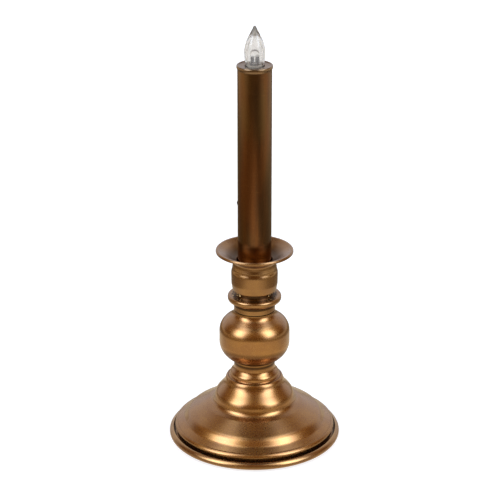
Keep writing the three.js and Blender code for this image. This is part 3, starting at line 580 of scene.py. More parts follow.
# %% Smoked bronze of the tube
def smoked_bronze(name):
    """Dark plating: streaks along Z, olive patches, scratches and golden specks, and a warm, lighter
    foot that is a painted reflection of the drip pan.
    """
    finish = Finish(name, Metallic=1.0, Coat_Roughness=0.20, Coat_IOR=1.5, Coat_Weight=0.7)
    streaks = finish.noise(8.0, 3.0, 0.55, place=finish.stretched(1.0, 1.0, 0.10))
    patches = finish.noise(17.0, place=finish.stretched(1.0, 1.0, 0.3))
    scratches = finish.noise(0.45, 2.0, 0.6, place=finish.stretched(0.08, 0.08, 1.0))
    grain = finish.noise(0.7, 2.0, 0.6)
    specks = finish.noise(0.30, 1.0).between(0.60, 0.80)
    # Painted reflection: the foot of the tube, down in the drip pan, is painted warm and light as the
    # pan's bronze shows in it.
    foot = 1 - finish.axis("Z").between(0.1122, 0.1190)
    body = finish.layers(
        (0.078, 0.028, 0.004),
        (streaks.between(0.34, 0.66) * 0.8 + grain * 0.2, (0.235, 0.070, 0.004)),
        (patches.between(0.42, 0.66) * 0.6, (0.185, 0.098, 0.018)),
        (foot * 0.9, (0.60, 0.210, 0.020)),
        (scratches.between(0.58, 0.78) * 0.25, (0.40, 0.22, 0.08)),
        (specks * 0.30, (0.62, 0.40, 0.14)))
    finish.feed(Base_Color=body, Roughness=0.22 + (grain - 0.5) * 0.08 + patches * 0.05)
    return finish.bump(grain * 0.4 + scratches * 0.6, 0.006, 0.35)


tube_bronze = smoked_bronze("tube_bronze")
print("bronzes:", gold_bronze.name, brown_bronze.name, foot_bronze.name, cap_bronze.name,
      pan_bronze.name, tube_bronze.name)

# %% [markdown]
# ## Plastics, rubber and the metals inside
#
# The foot is closed by a black moulding with a fine spark-eroded grain. Screws and contacts are
# zinc plated or brass.

# %% Moulded plastics and rubber
def moulded(name, colour, rough, grain_mm, depth_mm, **constants):
    """Plastic or rubber: a faint change of colour, and the fine grain that its mould leaves."""
    finish = Finish(name, **constants)
    grain = finish.noise(grain_mm, 2.0, 0.6)
    drift = finish.noise(14.0)
    darker = [channel * 0.72 for channel in colour]
    finish.feed(Base_Color=finish.mix(drift * 0.5 + grain * 0.4, colour, darker),
                Roughness=rough + (grain - 0.5) * 0.18 + (drift - 0.5) * 0.1)
    return finish.bump(grain, depth_mm, 0.6)


black_moulding = moulded("black_moulding", (0.020, 0.019, 0.018), 0.48, 0.45, 0.05)
black_rubber = moulded("black_rubber", (0.026, 0.025, 0.024), 0.78, 0.7, 0.06)
white_moulding = moulded("white_moulding", (0.78, 0.76, 0.70), 0.42, 0.6, 0.03,
                         Subsurface_Weight=0.08, Subsurface_Radius=(0.002, 0.0015, 0.001))
red_insulation = moulded("red_insulation", (0.42, 0.014, 0.010), 0.38, 0.8, 0.02)
black_insulation = moulded("black_insulation", (0.014, 0.014, 0.014), 0.38, 0.8, 0.02)
print("plastics and rubber:", black_moulding.name, black_rubber.name, white_moulding.name,
      red_insulation.name, black_insulation.name)


# %% Zinc plate and brass
def plated(name, colour, rough, tint):
    """Bright metal with fine drawn lines and a clouded tint from its plating bath."""
    finish = Finish(name, Metallic=1.0)
    lines = finish.noise(0.5, 3.0, 0.65, place=finish.stretched(1.0, 1.0, 6.0))
    clouds = finish.noise(5.0)
    finish.feed(Base_Color=finish.mix(clouds.between(0.35, 0.7), colour, tint),
                Roughness=rough + (lines - 0.5) * 0.22 + (clouds - 0.5) * 0.12)
    return finish.bump(lines, 0.02, 0.4)


zinc = plated("zinc_plate", (0.62, 0.62, 0.60), 0.3, (0.52, 0.53, 0.55))
bright_brass = plated("bright_brass", (0.72, 0.50, 0.19), 0.24, (0.58, 0.38, 0.14))
print("metals:", zinc.name, bright_brass.name)

# %% [markdown]
# ## Camera, studio and table
#
# The object stands on a pale table with a white wall behind it. A long soft box leans over it from
# the front left and another from the front right, and the dark strip between them is the dark line
# down the middle of the stem. The boxes are patches painted on the room itself, because such a
# patch can fade at its edges, as cloth over a lamp does. The camera looks down on it from about a
# metre, through a long lens.

# %% Camera
CAMERA_PLACE = (-2.55, -1030, 532.4)
CAMERA_LOOKS_DOWN = 22.07
FOCAL_LENGTH = 142.56
camera_data = bpy.data.cameras.new("camera")
camera_data.lens = FOCAL_LENGTH
camera_data.sensor_width = 36.0
camera = new_object("camera", camera_data)
camera.location = [place * MM for place in CAMERA_PLACE]
camera.rotation_euler = (math.radians(90 - CAMERA_LOOKS_DOWN), 0, 0)
scene.camera = camera
print("camera", tuple(round(v, 4) for v in camera.location))


# %% Soft boxes in the room
scene.view_settings.view_transform = "Standard"
world = bpy.data.worlds.new("room")
scene.world = world
world.use_nodes = True
world.node_tree.nodes.clear()
room = Nodes(world.node_tree)
direction = room.add("TexCoord", output="Generated")


def along(axis):
    """How far a direction in the room goes along an axis: the cosine of the angle between the two."""
    return room.add("VectorMath", {"operation": "DOT_PRODUCT"}, direction, tuple(axis), output="Value")


def soft_box(azimuth, elevation, width, length):
    """A patch of light that is 1 in its middle and fades to 0.

    Azimuth 0 is the camera's side and 90 the right. The patch is the product of two soft steps, one
    across it and one up it, of the sines of the angles from its middle line. width and length are
    where each has fallen to a half.
    """
    a, e = math.radians(azimuth), math.radians(elevation)
    middle = np.array([math.sin(a) * math.cos(e), -math.cos(a) * math.cos(e), math.sin(e)])
    across = np.array([math.cos(a), math.sin(a), 0.0])
    upward = np.cross(across, middle)
    sides = 1 - along(across).math("ABSOLUTE").between(width * 0.35, width * 1.65)
    ends = 1 - along(upward).math("ABSOLUTE").between(length * 0.45, length * 1.55)
    return sides * ends * along(middle).between(0.0, 0.3)


LAMP_RADIANCE = (4.472, 5.2, 6.344)
left_light = soft_box(-55, 33, 0.25, 0.36) + 0.5 * soft_box(-80, 67, 0.24, 0.14)
right_light = soft_box(54, 33, 0.24, 0.36) + 0.42 * soft_box(82, 65, 0.24, 0.14)

# %% Room
to_back, height = along((0, 1, 0)), along((0, 0, 1))
back_wall = to_back.between(0.30, 0.65) * (1 - height.between(0.68, 0.90))
seen = room.layers(
    (0.115, 0.052, 0.010),
    (height.between(-0.1, 0.5), (0.26, 0.137, 0.036)),
    (height.between(0.72, 0.96), (0.075, 0.030, 0.007)),
    ((-height).between(0.1, 0.3), (0.60, 0.60, 0.60)),
    (back_wall, (0.60, 0.60, 0.64)),
    (left_light + right_light, LAMP_RADIANCE),
    (room.rays("Camera", "Transmission"), (1.0, 1.0, 1.0)))
backdrop = room.add("Background", None, seen, 1.0)
room.join(backdrop, room.tree.nodes.new("ShaderNodeOutputWorld").inputs["Surface"])

# %% Table
TABLE_HALF = 3.0
table_mesh = bpy.data.meshes.new("table")
corners = [(x * TABLE_HALF, y * TABLE_HALF, 0) for x, y in ((-1, -1), (1, -1), (1, 1), (-1, 1))]
table_mesh.from_pydata(corners, [], [(0, 1, 2, 3)])
table = new_object("table", table_mesh)
top = Finish("pale_table", Roughness=0.9, Base_Color=(0.5, 0.5, 0.5, 1), Specular_IOR_Level=0.0)
cloth = Value(top, top.shader.outputs[0])
oval_place = top.add("Mapping", None, top.place, Location=(0.0, 0.066, 0.0), Scale=(0.9, 0.55, 1.0))
far, outward = (top.add("VectorMath", {"operation": "LENGTH"}, place, output="Value")
                for place in (oval_place, top.place))
right = top.axis("X")
# What the metal sees of the table is painted light and shade: a pool of light round the stand that dims
# with distance, a painted shadow close round the foot, and darker and lighter strips at the sides.
painted_table_light = top.layers(
    (0.84, 0.74, 0.54),
    (far.between(0.11, 0.23), (0.20, 0.145, 0.085)),
    (1 - outward.between(0.062, 0.125), (0.33, 0.28, 0.21)),
    (1 - outward.between(0.052, 0.060), (0.66, 0.60, 0.52)),
    ((-right).between(0.20, 0.40), (0.22, 0.14, 0.06)),
    ((-right).between(0.49, 0.58), (0.72, 0.60, 0.38)),
    (right.between(0.20, 0.32), (0.25, 0.20, 0.13)),
    (right.between(0.43, 0.52), (0.70, 0.64, 0.48)))
in_metal = top.add("Emission", None, painted_table_light, 1.0)
in_camera = top.add("AddShader", None, cloth, top.add("Emission", None, (0.72, 0.72, 0.72, 1), 1.0))
shown = top.add("MixShader", None, top.rays("Glossy"), cloth, in_metal)
shown = top.add("MixShader", None, top.rays("Camera", "Transmission"), shown, in_camera)
from_below = top.add("NewGeometry", output="Backfacing")
shown = top.add("MixShader", None, from_below, shown, top.add("BsdfTransparent"))
top.join(shown, top.tree.nodes["Material Output"].inputs["Surface"])
table_mesh.materials.append(top.material)
print("table and room ready")

# %% [markdown]
# ## Foot ring and dome
#
# The ring is a rolled bead. The dome stands inside it on a ledge, and shade is painted dark into
# the groove between them. The dome itself is spun from sheet: skirt, flange, shoulder, plateau, and a
# bell that carries the stem.

# %% Foot ring
roll = np.vstack([oval(47.2, 2.7, 2.0, 1.6, -90, 0, 16), oval(47.0, 2.7, 2.2, 2.6, 0, 90, 24)[1:]])
foot_ring = np.vstack([[(44.0, 1.1)], roll, [(47.0, 2.0), (46.8, 1.9), (44.0, 1.9)]])
foot_ring = spaced(foot_ring, 0.8, closed=True)
# Painted shade in the groove between the ring and the dome's skirt.
make_piece("foot_ring", lathe(foot_ring, turns=240, painted_shade=[(46.0, 1.9, 0.8)]), foot_bronze)

# %% Base dome with its screw bosses
SHEET = 0.9
SCREW_CIRCLE = 38.6
ROOF_LIMIT = 12.0
skirt = [(44.9, 1.9), (44.9, 7.0), (45.8, 7.05)]
flange = oval(43.4, 7.2, 2.5, 2.2, 0, 65)
plateau = cornered([flange[-1], (40.5, 11.45, 2.6), (38.0, 15.2, 6.0), (27.6, 20.8)], step=4, gap=0.7)
dome_low = spaced(np.vstack([skirt, flange, plateau[1:]]), 0.7, closed=False)
bell = through([
    (27.6, 20.8), (26.2, 21.3), (25.0, 21.75), (24.1, 22.35), (23.45, 23.3), (23.05, 24.6),
    (22.7, 26.3), (22.0, 28.2), (21.0, 29.6), (18.4, 32.7), (17.4, 34.1), (16.9, 35.15),
    (16.3, 36.9), (15.9, 37.6), (15.4, 37.95), (14.6, 38.2), (4.3, 38.2),
], per=5)
dome_outside = np.vstack([dome_low, bell[1:]])
inside_corners = np.array([
    (4.3, 37.3), (15.1, 37.3), (16.7, 33.5), (21.2, 28.1), (22.6, 22.6), (37.3, 14.6),
    (39.9, 10.8), (44.6, 9.2), (44.6, 7.6), (44.0, 7.4), (44.0, 1.9),
])
dome_loop = np.vstack([dome_outside, spaced(inside_corners, 2.0, closed=False)])


def screw_boss(x, y, outer=2.8, hole=1.45, foot=3.0, deep=10.6, turns=40):
    """A post under the dome: its wall rises from foot to the dome's sheet, whose height the radius
    tells, and a blind hole for the screw goes up from below."""
    reach = np.linalg.norm(around(outer, 0.0, turns)[:, :2] + (x, y), axis=1)
    order = np.argsort(dome_outside[:, 0])
    roof = np.interp(reach, *dome_outside[order].T) - 0.55 * SHEET
    roof = np.minimum(roof, ROOF_LIMIT)
    radii = np.array([0.0, hole, hole, outer, outer, outer, 0.0])[:, None]
    heights = (deep, deep, foot, foot, 7.0, roof, roof.mean())
    heights = np.array([np.broadcast_to(height, turns) for height in heights])
    return woven(around(radii, heights, turns)).moved((x, y, 0))


diagonal = SCREW_CIRCLE / math.sqrt(2)
bosses = [screw_boss(x, y) for x in (-diagonal, diagonal) for y in (-diagonal, diagonal)]
# Painted shade: in the groove at the skirt's foot, and where the collar meets the bell, which keeps
# that edge from catching the light.
dome_skin = lathe(dome_loop, turns=240, painted_shade=[(15.1, 38.15, 0.45), (44.9, 2.6, 0.9)])
make_piece("base_dome", [dome_skin, *bosses], gold_bronze)

# %% [markdown]
# ## Stem
#
# Four turned pieces are stacked on the hidden rod: a collar with a bead, the big ball, a ring knop,
# and the cup. The cup carries the drip pan.

# %% Collar
ledge = [(14.48, 38.2), (14.48, 38.42), (14.3, 38.58)]
bead = through([
    (13.9, 38.6), (13.88, 39.5), (13.75, 40.3), (13.4, 41.0), (12.85, 41.65), (12.2, 42.5),
    (11.8, 43.4), (11.7, 44.4),
], per=5)
collar = spaced(np.vstack([ledge, bead, [(11.7, 47.9), (4.3, 47.9), (4.3, 38.2)]]), 0.6, closed=True)
# Painted shade under the ball, round the top of the collar's neck.
make_piece("stem_collar", lathe(collar, painted_shade=[(11.7, 47.4, 2.4)]), gold_bronze)

# %% Ball
ball_low = oval(0, 59.6, 20.03, 14.41, -54.3, 0, 40)
shoulder = [oval(10.53, 65.9, 9.5, 9.5, 0, 57, 30), oval(15.9, 78.8, 4.2, 4.2, 237, 180, 20)]
ball_high = spaced(np.vstack([[(20.03, 59.6)], *shoulder, [(4.3, 79.4)]]), 0.7, closed=False)
ball_inside = [
    (4.3, 77.8), (10.1, 77.8), (10.1, 75.2), (14.8, 68.4), (18.4, 65.2), (18.4, 59.9), (14.4, 52.1),
    (10.1, 49.5), (4.3, 49.5), (4.3, 47.9),
]
ball = np.vstack([[(11.7, 47.9)], ball_low[1:], ball_high[1:], ball_inside])
# Painted shade: the ball's underside darkens towards the collar.
make_piece("stem_ball", lathe(ball, turns=192, painted_shade=[(11.8, 48.4, 7.2)]), gold_bronze)

# %% Ring knop
# Painted shade in the recess under the cup and just under the ring.
turned_piece("stem_ring", [
    (4.3, 79.4), (11.7, 79.4), (11.7, 83.3, 0.6), (15.2, 85.0, 2.0), (15.2, 88.15, 1.1), (4.3, 88.15),
], brown_bronze, turns=144, painted_shade=[(11.0, 88.15, 2.5), (11.7, 82.6, 0.9)], step=5, gap=0.5)

# %% Cup
cup_below = cornered([
    (4.3, 88.15), (10.8, 88.15), (10.8, 91.0, 0.4), (12.4, 91.2, 1.0), (13.1, 95.5, 5.0),
    (13.17, 101.0), (13.17, 101.9),
], step=5, gap=0.6)
cup_flare = through([
    (13.17, 101.9), (13.12, 102.35), (13.0, 102.9), (12.82, 103.45), (12.67, 104.1), (12.6, 104.8),
], per=4)
cup_inside = [(11.57, 104.8), (11.57, 99.6), (11.57, 94.4), (4.3, 94.4)]
cup = np.vstack([cup_below, cup_flare[1:], cup_inside])
# Painted shade in the recess at the foot of the cup.
make_piece("candle_cup", lathe(cup, painted_shade=[(10.8, 89.4, 2.6)]), brown_bronze)

# %% Drip pan
# Painted shade: a thin dark line in the small groove of the rim.
turned_piece("drip_pan", [
    (11.42, 104.8), (12.6, 104.8), (12.3, 106.4, 2.0), (12.1, 108.9, 2.2), (17.0, 111.6, 5.0),
    (20.75, 113.6, 0.8), (21.87, 113.9, 0.6), (21.87, 114.7, 0.25), (21.72, 114.87, 0.15),
    (21.78, 115.02, 0.15), (21.35, 115.52, 0.45), (20.4, 115.38, 0.6), (16.2, 113.2, 5.0),
    (13.0, 111.0, 3.0), (10.1, 109.6, 0.4), (10.1, 108.7, 0.3), (11.42, 108.4, 0.2),
], pan_bronze, turns=180, painted_shade=[(21.75, 114.87, 0.22)], step=5, gap=0.5)

# %% [markdown]
# ## Candle tube, cap and light sensor
#
# The tube has a small round window for the light sensor. Cutting it with a Boolean would leave long
# thin faces that spoil the shading of the tube. So the wall is laid out flat as height and angle, a
# square is left out of its grid, and rings of points lead from that square to the round hole.
# Everything then bends round the axis together.

# %% Tube with a window
TUBE_LOW, TUBE_HIGH = 96.4, 220.4
TUBE_OUT, TUBE_IN = 9.5, 8.7
WINDOW_Z, WINDOW_R = 143.1, 1.6
ROWS_BELOW, HALF_SQUARE, RINGS = 24, 4, 8


def window_wall(radius, columns=96):
    """One wall of the tube: the point (radius cos a, radius sin a, z). Around the window a square of
    the flat layout gives way to RINGS rings. The k-th lies at the share k / RINGS of the way from
    square to circle."""
    z = np.concatenate([
        np.linspace(TUBE_LOW, WINDOW_Z - 4.4, ROWS_BELOW),
        WINDOW_Z + np.linspace(-3, 3, 2 * HALF_SQUARE + 1),
        np.linspace(WINDOW_Z + 4.4, TUBE_HIGH, 36),
    ])
    a = np.pi + 2 * np.pi / columns * np.arange(columns)
    index = np.arange(len(z) * columns).reshape(len(z), columns)
    points = np.stack(np.broadcast_arrays(a[None], z[:, None]), -1).reshape(-1, 2)
    across = np.arange(-HALF_SQUARE, HALF_SQUARE + 1) % columns
    first, last = ROWS_BELOW, ROWS_BELOW + 2 * HALF_SQUARE
    keep = np.ones((len(z) - 1, columns), bool)
    keep[np.ix_(np.arange(first, last), across[:-1])] = False
    quads = strips(index[:-1], index[1:])[keep]
    frame_index = np.concatenate([
        index[first, across], index[first + 1:last + 1, across[-1]],
        index[last, across[-2::-1]], index[last - 1:first:-1, across[0]],
    ])
    angle, level = points[frame_index].T
    turned = angle % (2 * np.pi) - np.pi
    arc = np.stack([turned * radius, level - WINDOW_Z], -1)
    circle = arc / np.linalg.norm(arc, axis=1)[:, None] * WINDOW_R
    share = np.linspace(0, 1, RINGS + 1)[1:, None, None]
    rings = arc + (circle - arc) * share
    rings = np.stack([rings[..., 0] / radius + np.pi, rings[..., 1] + WINDOW_Z], -1)
    fresh = len(points) + np.arange(rings[..., 0].size).reshape(RINGS, -1)
    ring_index = np.vstack([frame_index, fresh])
    collar_quads = strips(ring_index[:-1], ring_index[1:]).reshape(-1, 4)
    angle, level = np.vstack([points, rings.reshape(-1, 2)]).T
    solid = np.column_stack([radius * np.cos(angle), radius * np.sin(angle), level])
    return solid, np.vstack([quads, collar_quads]), index[0], index[-1], ring_index[-1]


def pierced_tube():
    """Outer and inner wall, joined by flat rims at both ends and by a wall through the window."""
    out_points, out_faces, *out_edges = window_wall(TUBE_OUT)
    in_points, in_faces, *in_edges = window_wall(TUBE_IN)
    shift = len(out_points)
    low, high, hole = (strips(outer, inner + shift) for outer, inner in zip(out_edges, in_edges))
    faces = np.vstack([out_faces, in_faces[:, ::-1] + shift, low[:, ::-1], high, hole])
    return Skin(np.vstack([out_points, in_points]), [faces])


make_piece("candle_tube", pierced_tube(), tube_bronze)

# %% Cap and sensor
turned_piece("tube_cap", [
    (6.1, 217.4), (8.4, 217.4, 0.2), (8.4, 220.4), (9.5, 220.4), (9.98, 221.5, 0.9),
    (9.98, 222.9, 0.5), (8.98, 222.9, 0.25), (8.88, 222.55, 0.15), (5.25, 222.4, 0.15), (5.9, 221.6),
], cap_bronze, turns=144, gap=0.5)

sensor_glass = moulded("sensor_glass", (0.030, 0.012, 0.008), 0.12, 2.0, 0.01, Coat_Weight=0.6)
nose = np.vstack([[(0, 0), (1.25, 0), (1.3, 0.1)], oval(0, 4.6, 1.3, 0.85, 0, 90, 14)])
to_left = [[0, 0, -1], [0, 1, 0], [1, 0, 0]]
sensor = lathe(nose, closed=False, turns=48).moved((-4.5, 0, WINDOW_Z), to_left)
sensor_leads = [rounded_box((-5.0, -0.25, z - 0.25), (-0.8, 0.25, z + 0.25), 0.08)
                for z in (WINDOW_Z - 0.6, WINDOW_Z + 0.6)]
make_piece("light_sensor", [sensor, *sensor_leads], sensor_glass)

# %% [markdown]
# ## Bulb
#
# A clear moulded flame with a hollow, on a screw shell with a rolled thread. Inside stands the
# lamp: a small clear dome cast round two flat metal posts. A hollow flame of solid wall bends the
# background as the real one does.

# %% Clear plastics
def clear_plastic(name, tint, rough, smear_mm, depth_mm):
    """See-through plastic whose surface waves a little, as mouldings do."""
    finish = Finish(name, Transmission_Weight=1.0, IOR=1.49, Specular_IOR_Level=0.5)
    waves = finish.noise(smear_mm)
    finish.feed(Base_Color=finish.mix(waves, tint, [0.97 * channel for channel in tint]),
                Roughness=rough + waves * 0.04)
    return finish.bump(waves, depth_mm, 0.5)


def flame_plastic(name):
    """The lens: faintly cloudy and streaked along Z, with painted shade where it is seen edge-on, and a
    painted brown reflection of the bronze in its solid tip.
    """
    finish = Finish(name, Transmission_Weight=0.86, IOR=1.49)
    streaks = finish.noise(1.6, 2.0, 0.6, place=finish.stretched(1.0, 1.0, 0.12))
    # Painted shade where the lens is seen edge-on.
    edge_on_shade = finish.add("LayerWeight", None, 0.35, output="Facing")
    # Painted reflection: the solid tip is brown, as the bronze below shows in it.
    tip_reflection = finish.axis("Z").between(0.2384, 0.2408)
    body = finish.layers(
        (0.99, 0.965, 0.925),
        (streaks.between(0.35, 0.7), (0.91, 0.875, 0.82)),
        (edge_on_shade ** 1.4, (0.42, 0.385, 0.33)),
        (tip_reflection * 0.95, (0.27, 0.22, 0.15)))
    finish.feed(Base_Color=body, Roughness=0.10 + streaks * 0.08 + tip_reflection * 0.2)
    return finish.bump(streaks, 0.05, 0.4)


clear_lens = flame_plastic("clear_lens")
clear_resin = clear_plastic("clear_resin", (0.97, 0.965, 0.95), 0.04, 1.6, 0.08)

# %% Lens and lamp
LENS_Z = 219.6
flame_outside = through([
    (4.75, 0), (4.98, 2.0), (5.28, 4.2), (5.56, 7.4), (5.65, 10.5), (5.5, 12.6), (5.18, 14.3),
    (4.55, 16.4), (3.6, 18.7), (2.45, 21.0), (1.5, 22.9), (0.95, 24.0), (0.62, 24.75), (0.3, 25.05),
    (0, 25.13),
], per=6)
flame_inside = through([
    (0, 20.6), (0.7, 20.1), (1.5, 18.6), (2.9, 16.0), (3.9, 13.4), (4.5, 10.6), (4.6, 8.0),
    (4.5, 4.5), (4.2, 2.0), (3.85, 0),
], per=6)
flame = np.vstack([flame_outside[::-1], flame_inside[::-1]]) + (0, LENS_Z)
make_piece("bulb_lens", lathe(flame, closed=False, turns=120), clear_lens)

lamp_side = [(0, 223.0), (2.9, 223.0, 0.15), (2.9, 224.0, 0.2), (2.5, 224.05), (2.5, 229.2)]
lamp_side = cornered(lamp_side, step=8, gap=0.6)
lamp_outline = np.vstack([lamp_side, oval(0, 229.2, 2.5, 2.5, 0, 90, 20)[1:]])
make_piece("lamp_body", lathe(lamp_outline, closed=False, turns=72), clear_resin)


# %% Posts inside the lamp
def post_metal(name):
    """Dull grey lead frame whose heads are painted near white and not metallic: a painted highlight."""
    finish = Finish(name)
    # Painted highlight: the top of each post is white, for the bright glint on the posts.
    head = finish.axis("Z").between(0.2275, 0.2279)
    grain = finish.noise(0.5, 2.0, 0.6)
    body = finish.layers((0.11, 0.106, 0.10), (grain, (0.065, 0.063, 0.06)), (head, (0.95, 0.94, 0.92)))
    finish.feed(Base_Color=body, Roughness=0.32 + grain * 0.2, Metallic=0.8 - head * 0.8)
    return finish.bump(grain, 0.01, 0.4)


lead_frame = post_metal("lead_frame")


def lamp_post(side, width, top):
    """A leg through the plug, and above it a flat post in the lamp's middle plane."""
    leg_x, inner = side * 1.27, side * 0.22
    leg = rounded_box((leg_x - 0.25, -0.25, 212.0), (leg_x + 0.25, 0.25, 224.6), 0.08)
    left, right = sorted((inner, inner + side * width))
    levels = np.linspace(224.4, top, 12)
    post = rounded_box((left, -0.3, 224.3), (right, 0.3, top), 0.1, ((), (), levels))
    return [leg, post]


make_piece("lamp_anode", lamp_post(-1, 1.3, 228.3), lead_frame)
make_piece("lamp_cathode", lamp_post(1, 1.65, 228.7), lead_frame)


# %% Rolled threads
def threaded(radius, depth, pitch, low, high, bore, turns=72, per_turn=12):
    """A tube whose outer radius is radius - depth * (1 - cos(2 pi (z / pitch - u / 2 pi))) / 2.

    The wave fades out over the last half pitch at both ends. The bore is a plain cylinder.
    """
    u = np.linspace(0, 2 * np.pi, turns, endpoint=False)
    z = np.linspace(low, high, max(8, round((high - low) / pitch * per_turn)))[:, None]
    fade = np.clip(np.minimum(z - low, high - z) / (0.5 * pitch), 0, 1)
    wave = depth * (1 - np.cos(2 * np.pi * (z - low) / pitch - u)) / 2
    outside = around(radius - depth + fade * (depth - wave), z, turns)
    inside = around(np.full((2, 1), bore), np.array([[high], [low]]), turns)
    return woven(np.concatenate([outside, inside]), round_trip=True)


BULB_PITCH = 1.81
bulb_thread = threaded(4.75, 0.45, BULB_PITCH, 211.0, 219.6, 4.1)
socket_thread = threaded(5.45, 0.2, BULB_PITCH, 208.4, 218.8, 5.05)
rod_thread = threaded(4.0, 0.5, 1.25, 29.1, 102.0, 2.6, turns=40, per_turn=8)
make_piece("bulb_shell", bulb_thread, bright_brass, crease=50)
make_piece("socket_shell", socket_thread, bright_brass, crease=50)
make_piece("tie_rod", rod_thread, zinc, crease=60)

# %% Plug, insulator and contacts
cream_moulding = moulded("cream_moulding", (0.96, 0.93, 0.86), 0.4, 0.6, 0.02)
turned_piece("bulb_plug", [
    (0, 211.0), (3.9, 211.0, 0.2), (3.9, 219.3, 0.2), (3.55, 219.3), (3.55, 220.8), (4.0, 221.2, 0.2),
    (4.15, 223.3, 0.2), (3.2, 223.3, 0.1), (3.1, 223.0), (0, 223.0),
], cream_moulding, closed=False, turns=72, gap=1.0)
turned_piece("bulb_insulator", [
    (0, 209.6), (2.2, 209.6, 0.2), (4.2, 211.0, 0.1), (0, 211.0),
], black_moulding, closed=False, turns=72)
solder_tip = np.vstack([oval(0, 209.3, 1.3, 0.3, -90, 0, 10), [(1.25, 209.6), (0, 209.6)]])
make_piece("bulb_contact", lathe(solder_tip, closed=False, turns=40), bright_brass)
turned_piece("contact_plunger", [
    (0, 201.6), (1.2, 201.6, 0.25), (1.2, 208.2, 0.1), (2.0, 208.2, 0.15), (2.0, 209.0, 0.25),
    (0, 209.0),
], bright_brass, closed=False, turns=48)
contact_coil = coil((0, 0, 204.98), (0, 0, 2.84), (1, 0, 0), 3.5, 1.72, 1.72)
make_piece("contact_spring", pipe(contact_coil, 0.22, (0, 0, 1)), zinc)

# %% Socket and tube foot
turned_piece("socket_body", [
    (1.5, 203.4), (8.4, 203.4, 0.4), (8.4, 217.4, 0.3), (5.75, 217.4, 0.2), (5.75, 208.4),
    (2.4, 208.4, 0.15), (2.4, 204.6), (1.5, 204.6),
], white_moulding)
turned_piece("tube_foot", [
    (4.3, 94.4), (11.07, 94.4, 0.25), (11.07, 96.4, 0.25), (8.4, 96.4), (8.4, 108.0, 0.3),
    (7.52, 108.0, 0.2), (7.52, 96.4), (4.3, 96.4),
], white_moulding)

# %% [markdown]
# ## Nuts and washer
#
# A nut is a hexagon whose corners a cone has cut off. Both are radii that depend on the angle, so
# the smaller one counts.

# %% Hexagon nuts
NUT_FLAT, NUT_HEIGHT, NUT_BORE = 12.5, 4.0, 4.3


def hexagon_nut(low, turns=144):
    """Outer radius: the smaller of (NUT_FLAT / 2) / cos(a), where a is the angle from the middle of
    the nearest flat, and a cone that leaves the corners free at both faces."""
    u = np.linspace(0, 2 * np.pi, turns, endpoint=False)
    hexagon = NUT_FLAT / 2 / np.cos((u + np.pi / 6) % (np.pi / 3) - np.pi / 6)
    level = np.array([0, 0.15, 0.3, 0.5, 0.7, 3.3, 3.5, 3.7, 3.85, NUT_HEIGHT])[:, None]
    cone = NUT_FLAT / 2 * 0.97 + 1.75 * np.minimum(level, NUT_HEIGHT - level)
    wall = around(np.minimum(hexagon, cone), low + level, turns)
    bore = np.array([(0.4, NUT_HEIGHT), (0, NUT_HEIGHT - 0.4), (0, 0.4), (0.4, 0)])
    bore = around(NUT_BORE + bore[:, :1], low + bore[:, 1:], turns)
    return woven(np.concatenate([wall, bore]), round_trip=True)


make_piece("rod_nut_lower", hexagon_nut(32.1), zinc)
make_piece("rod_nut_upper", hexagon_nut(96.4), zinc)
turned_piece("rod_washer", [
    (4.3, 36.1, 0.1), (11.0, 36.1, 0.25), (11.0, 37.3, 0.25), (4.3, 37.3, 0.1),
], zinc)

# %% [markdown]
# ## Underside
#
# Turned over, the foot shows a black moulding with four rubber feet, four screws, a battery door
# and a slide switch.

# %% Rubber feet
foot_pad = cornered([(0, 0), (3.3, 0, 0.15), (3.5, 1.0, 0.1), (0, 1.0)], step=8)
for number in range(1, 5):
    low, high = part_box(f"rubber_foot_{number}")
    middle = (low + high) / 2 / MM
    foot = lathe(foot_pad, closed=False, turns=64).moved((middle.x, middle.y, 0))
    make_piece(f"rubber_foot_{number}", foot, black_rubber)


# %% Screws with a cross recess
def screw(x, y, turns=96):
    """The head's underside is a polar grid. Each point rises by the depth of the cross, which is deep
    within half a slot's width of either line through the middle and fades out towards the slots'
    ends."""
    r = np.concatenate([[0], np.linspace(0.12, 1.9, 16), [2.1, 2.3, 2.4]])[:, None]
    face = around(r, 1.1, turns)
    slot = np.abs(face[..., :2]).min(axis=-1)
    depth = 0.75 * np.clip((0.30 - slot) / 0.08, 0, 1) * np.clip((1.55 - r) / 0.3, 0, 1)
    round_edge = 0.18 * np.clip((r - 2.0) / 0.4, 0, 1) ** 2
    face[..., 2] += depth + round_edge
    shank = np.array([(2.4, 1.5), (2.4, 2.2), (1.15, 2.2), (1.15, 9.0), (0.5, 9.7), (0, 9.7)])
    shank = around(shank[:, :1], shank[:, 1:], turns)
    return woven(np.concatenate([face, shank])).moved((x, y, 0))


for number, (sx, sy) in enumerate(((1, 1), (-1, 1), (-1, -1), (1, -1)), 1):
    make_piece(f"tray_screw_{number}", screw(sx * diagonal, sy * diagonal), zinc, crease=28)

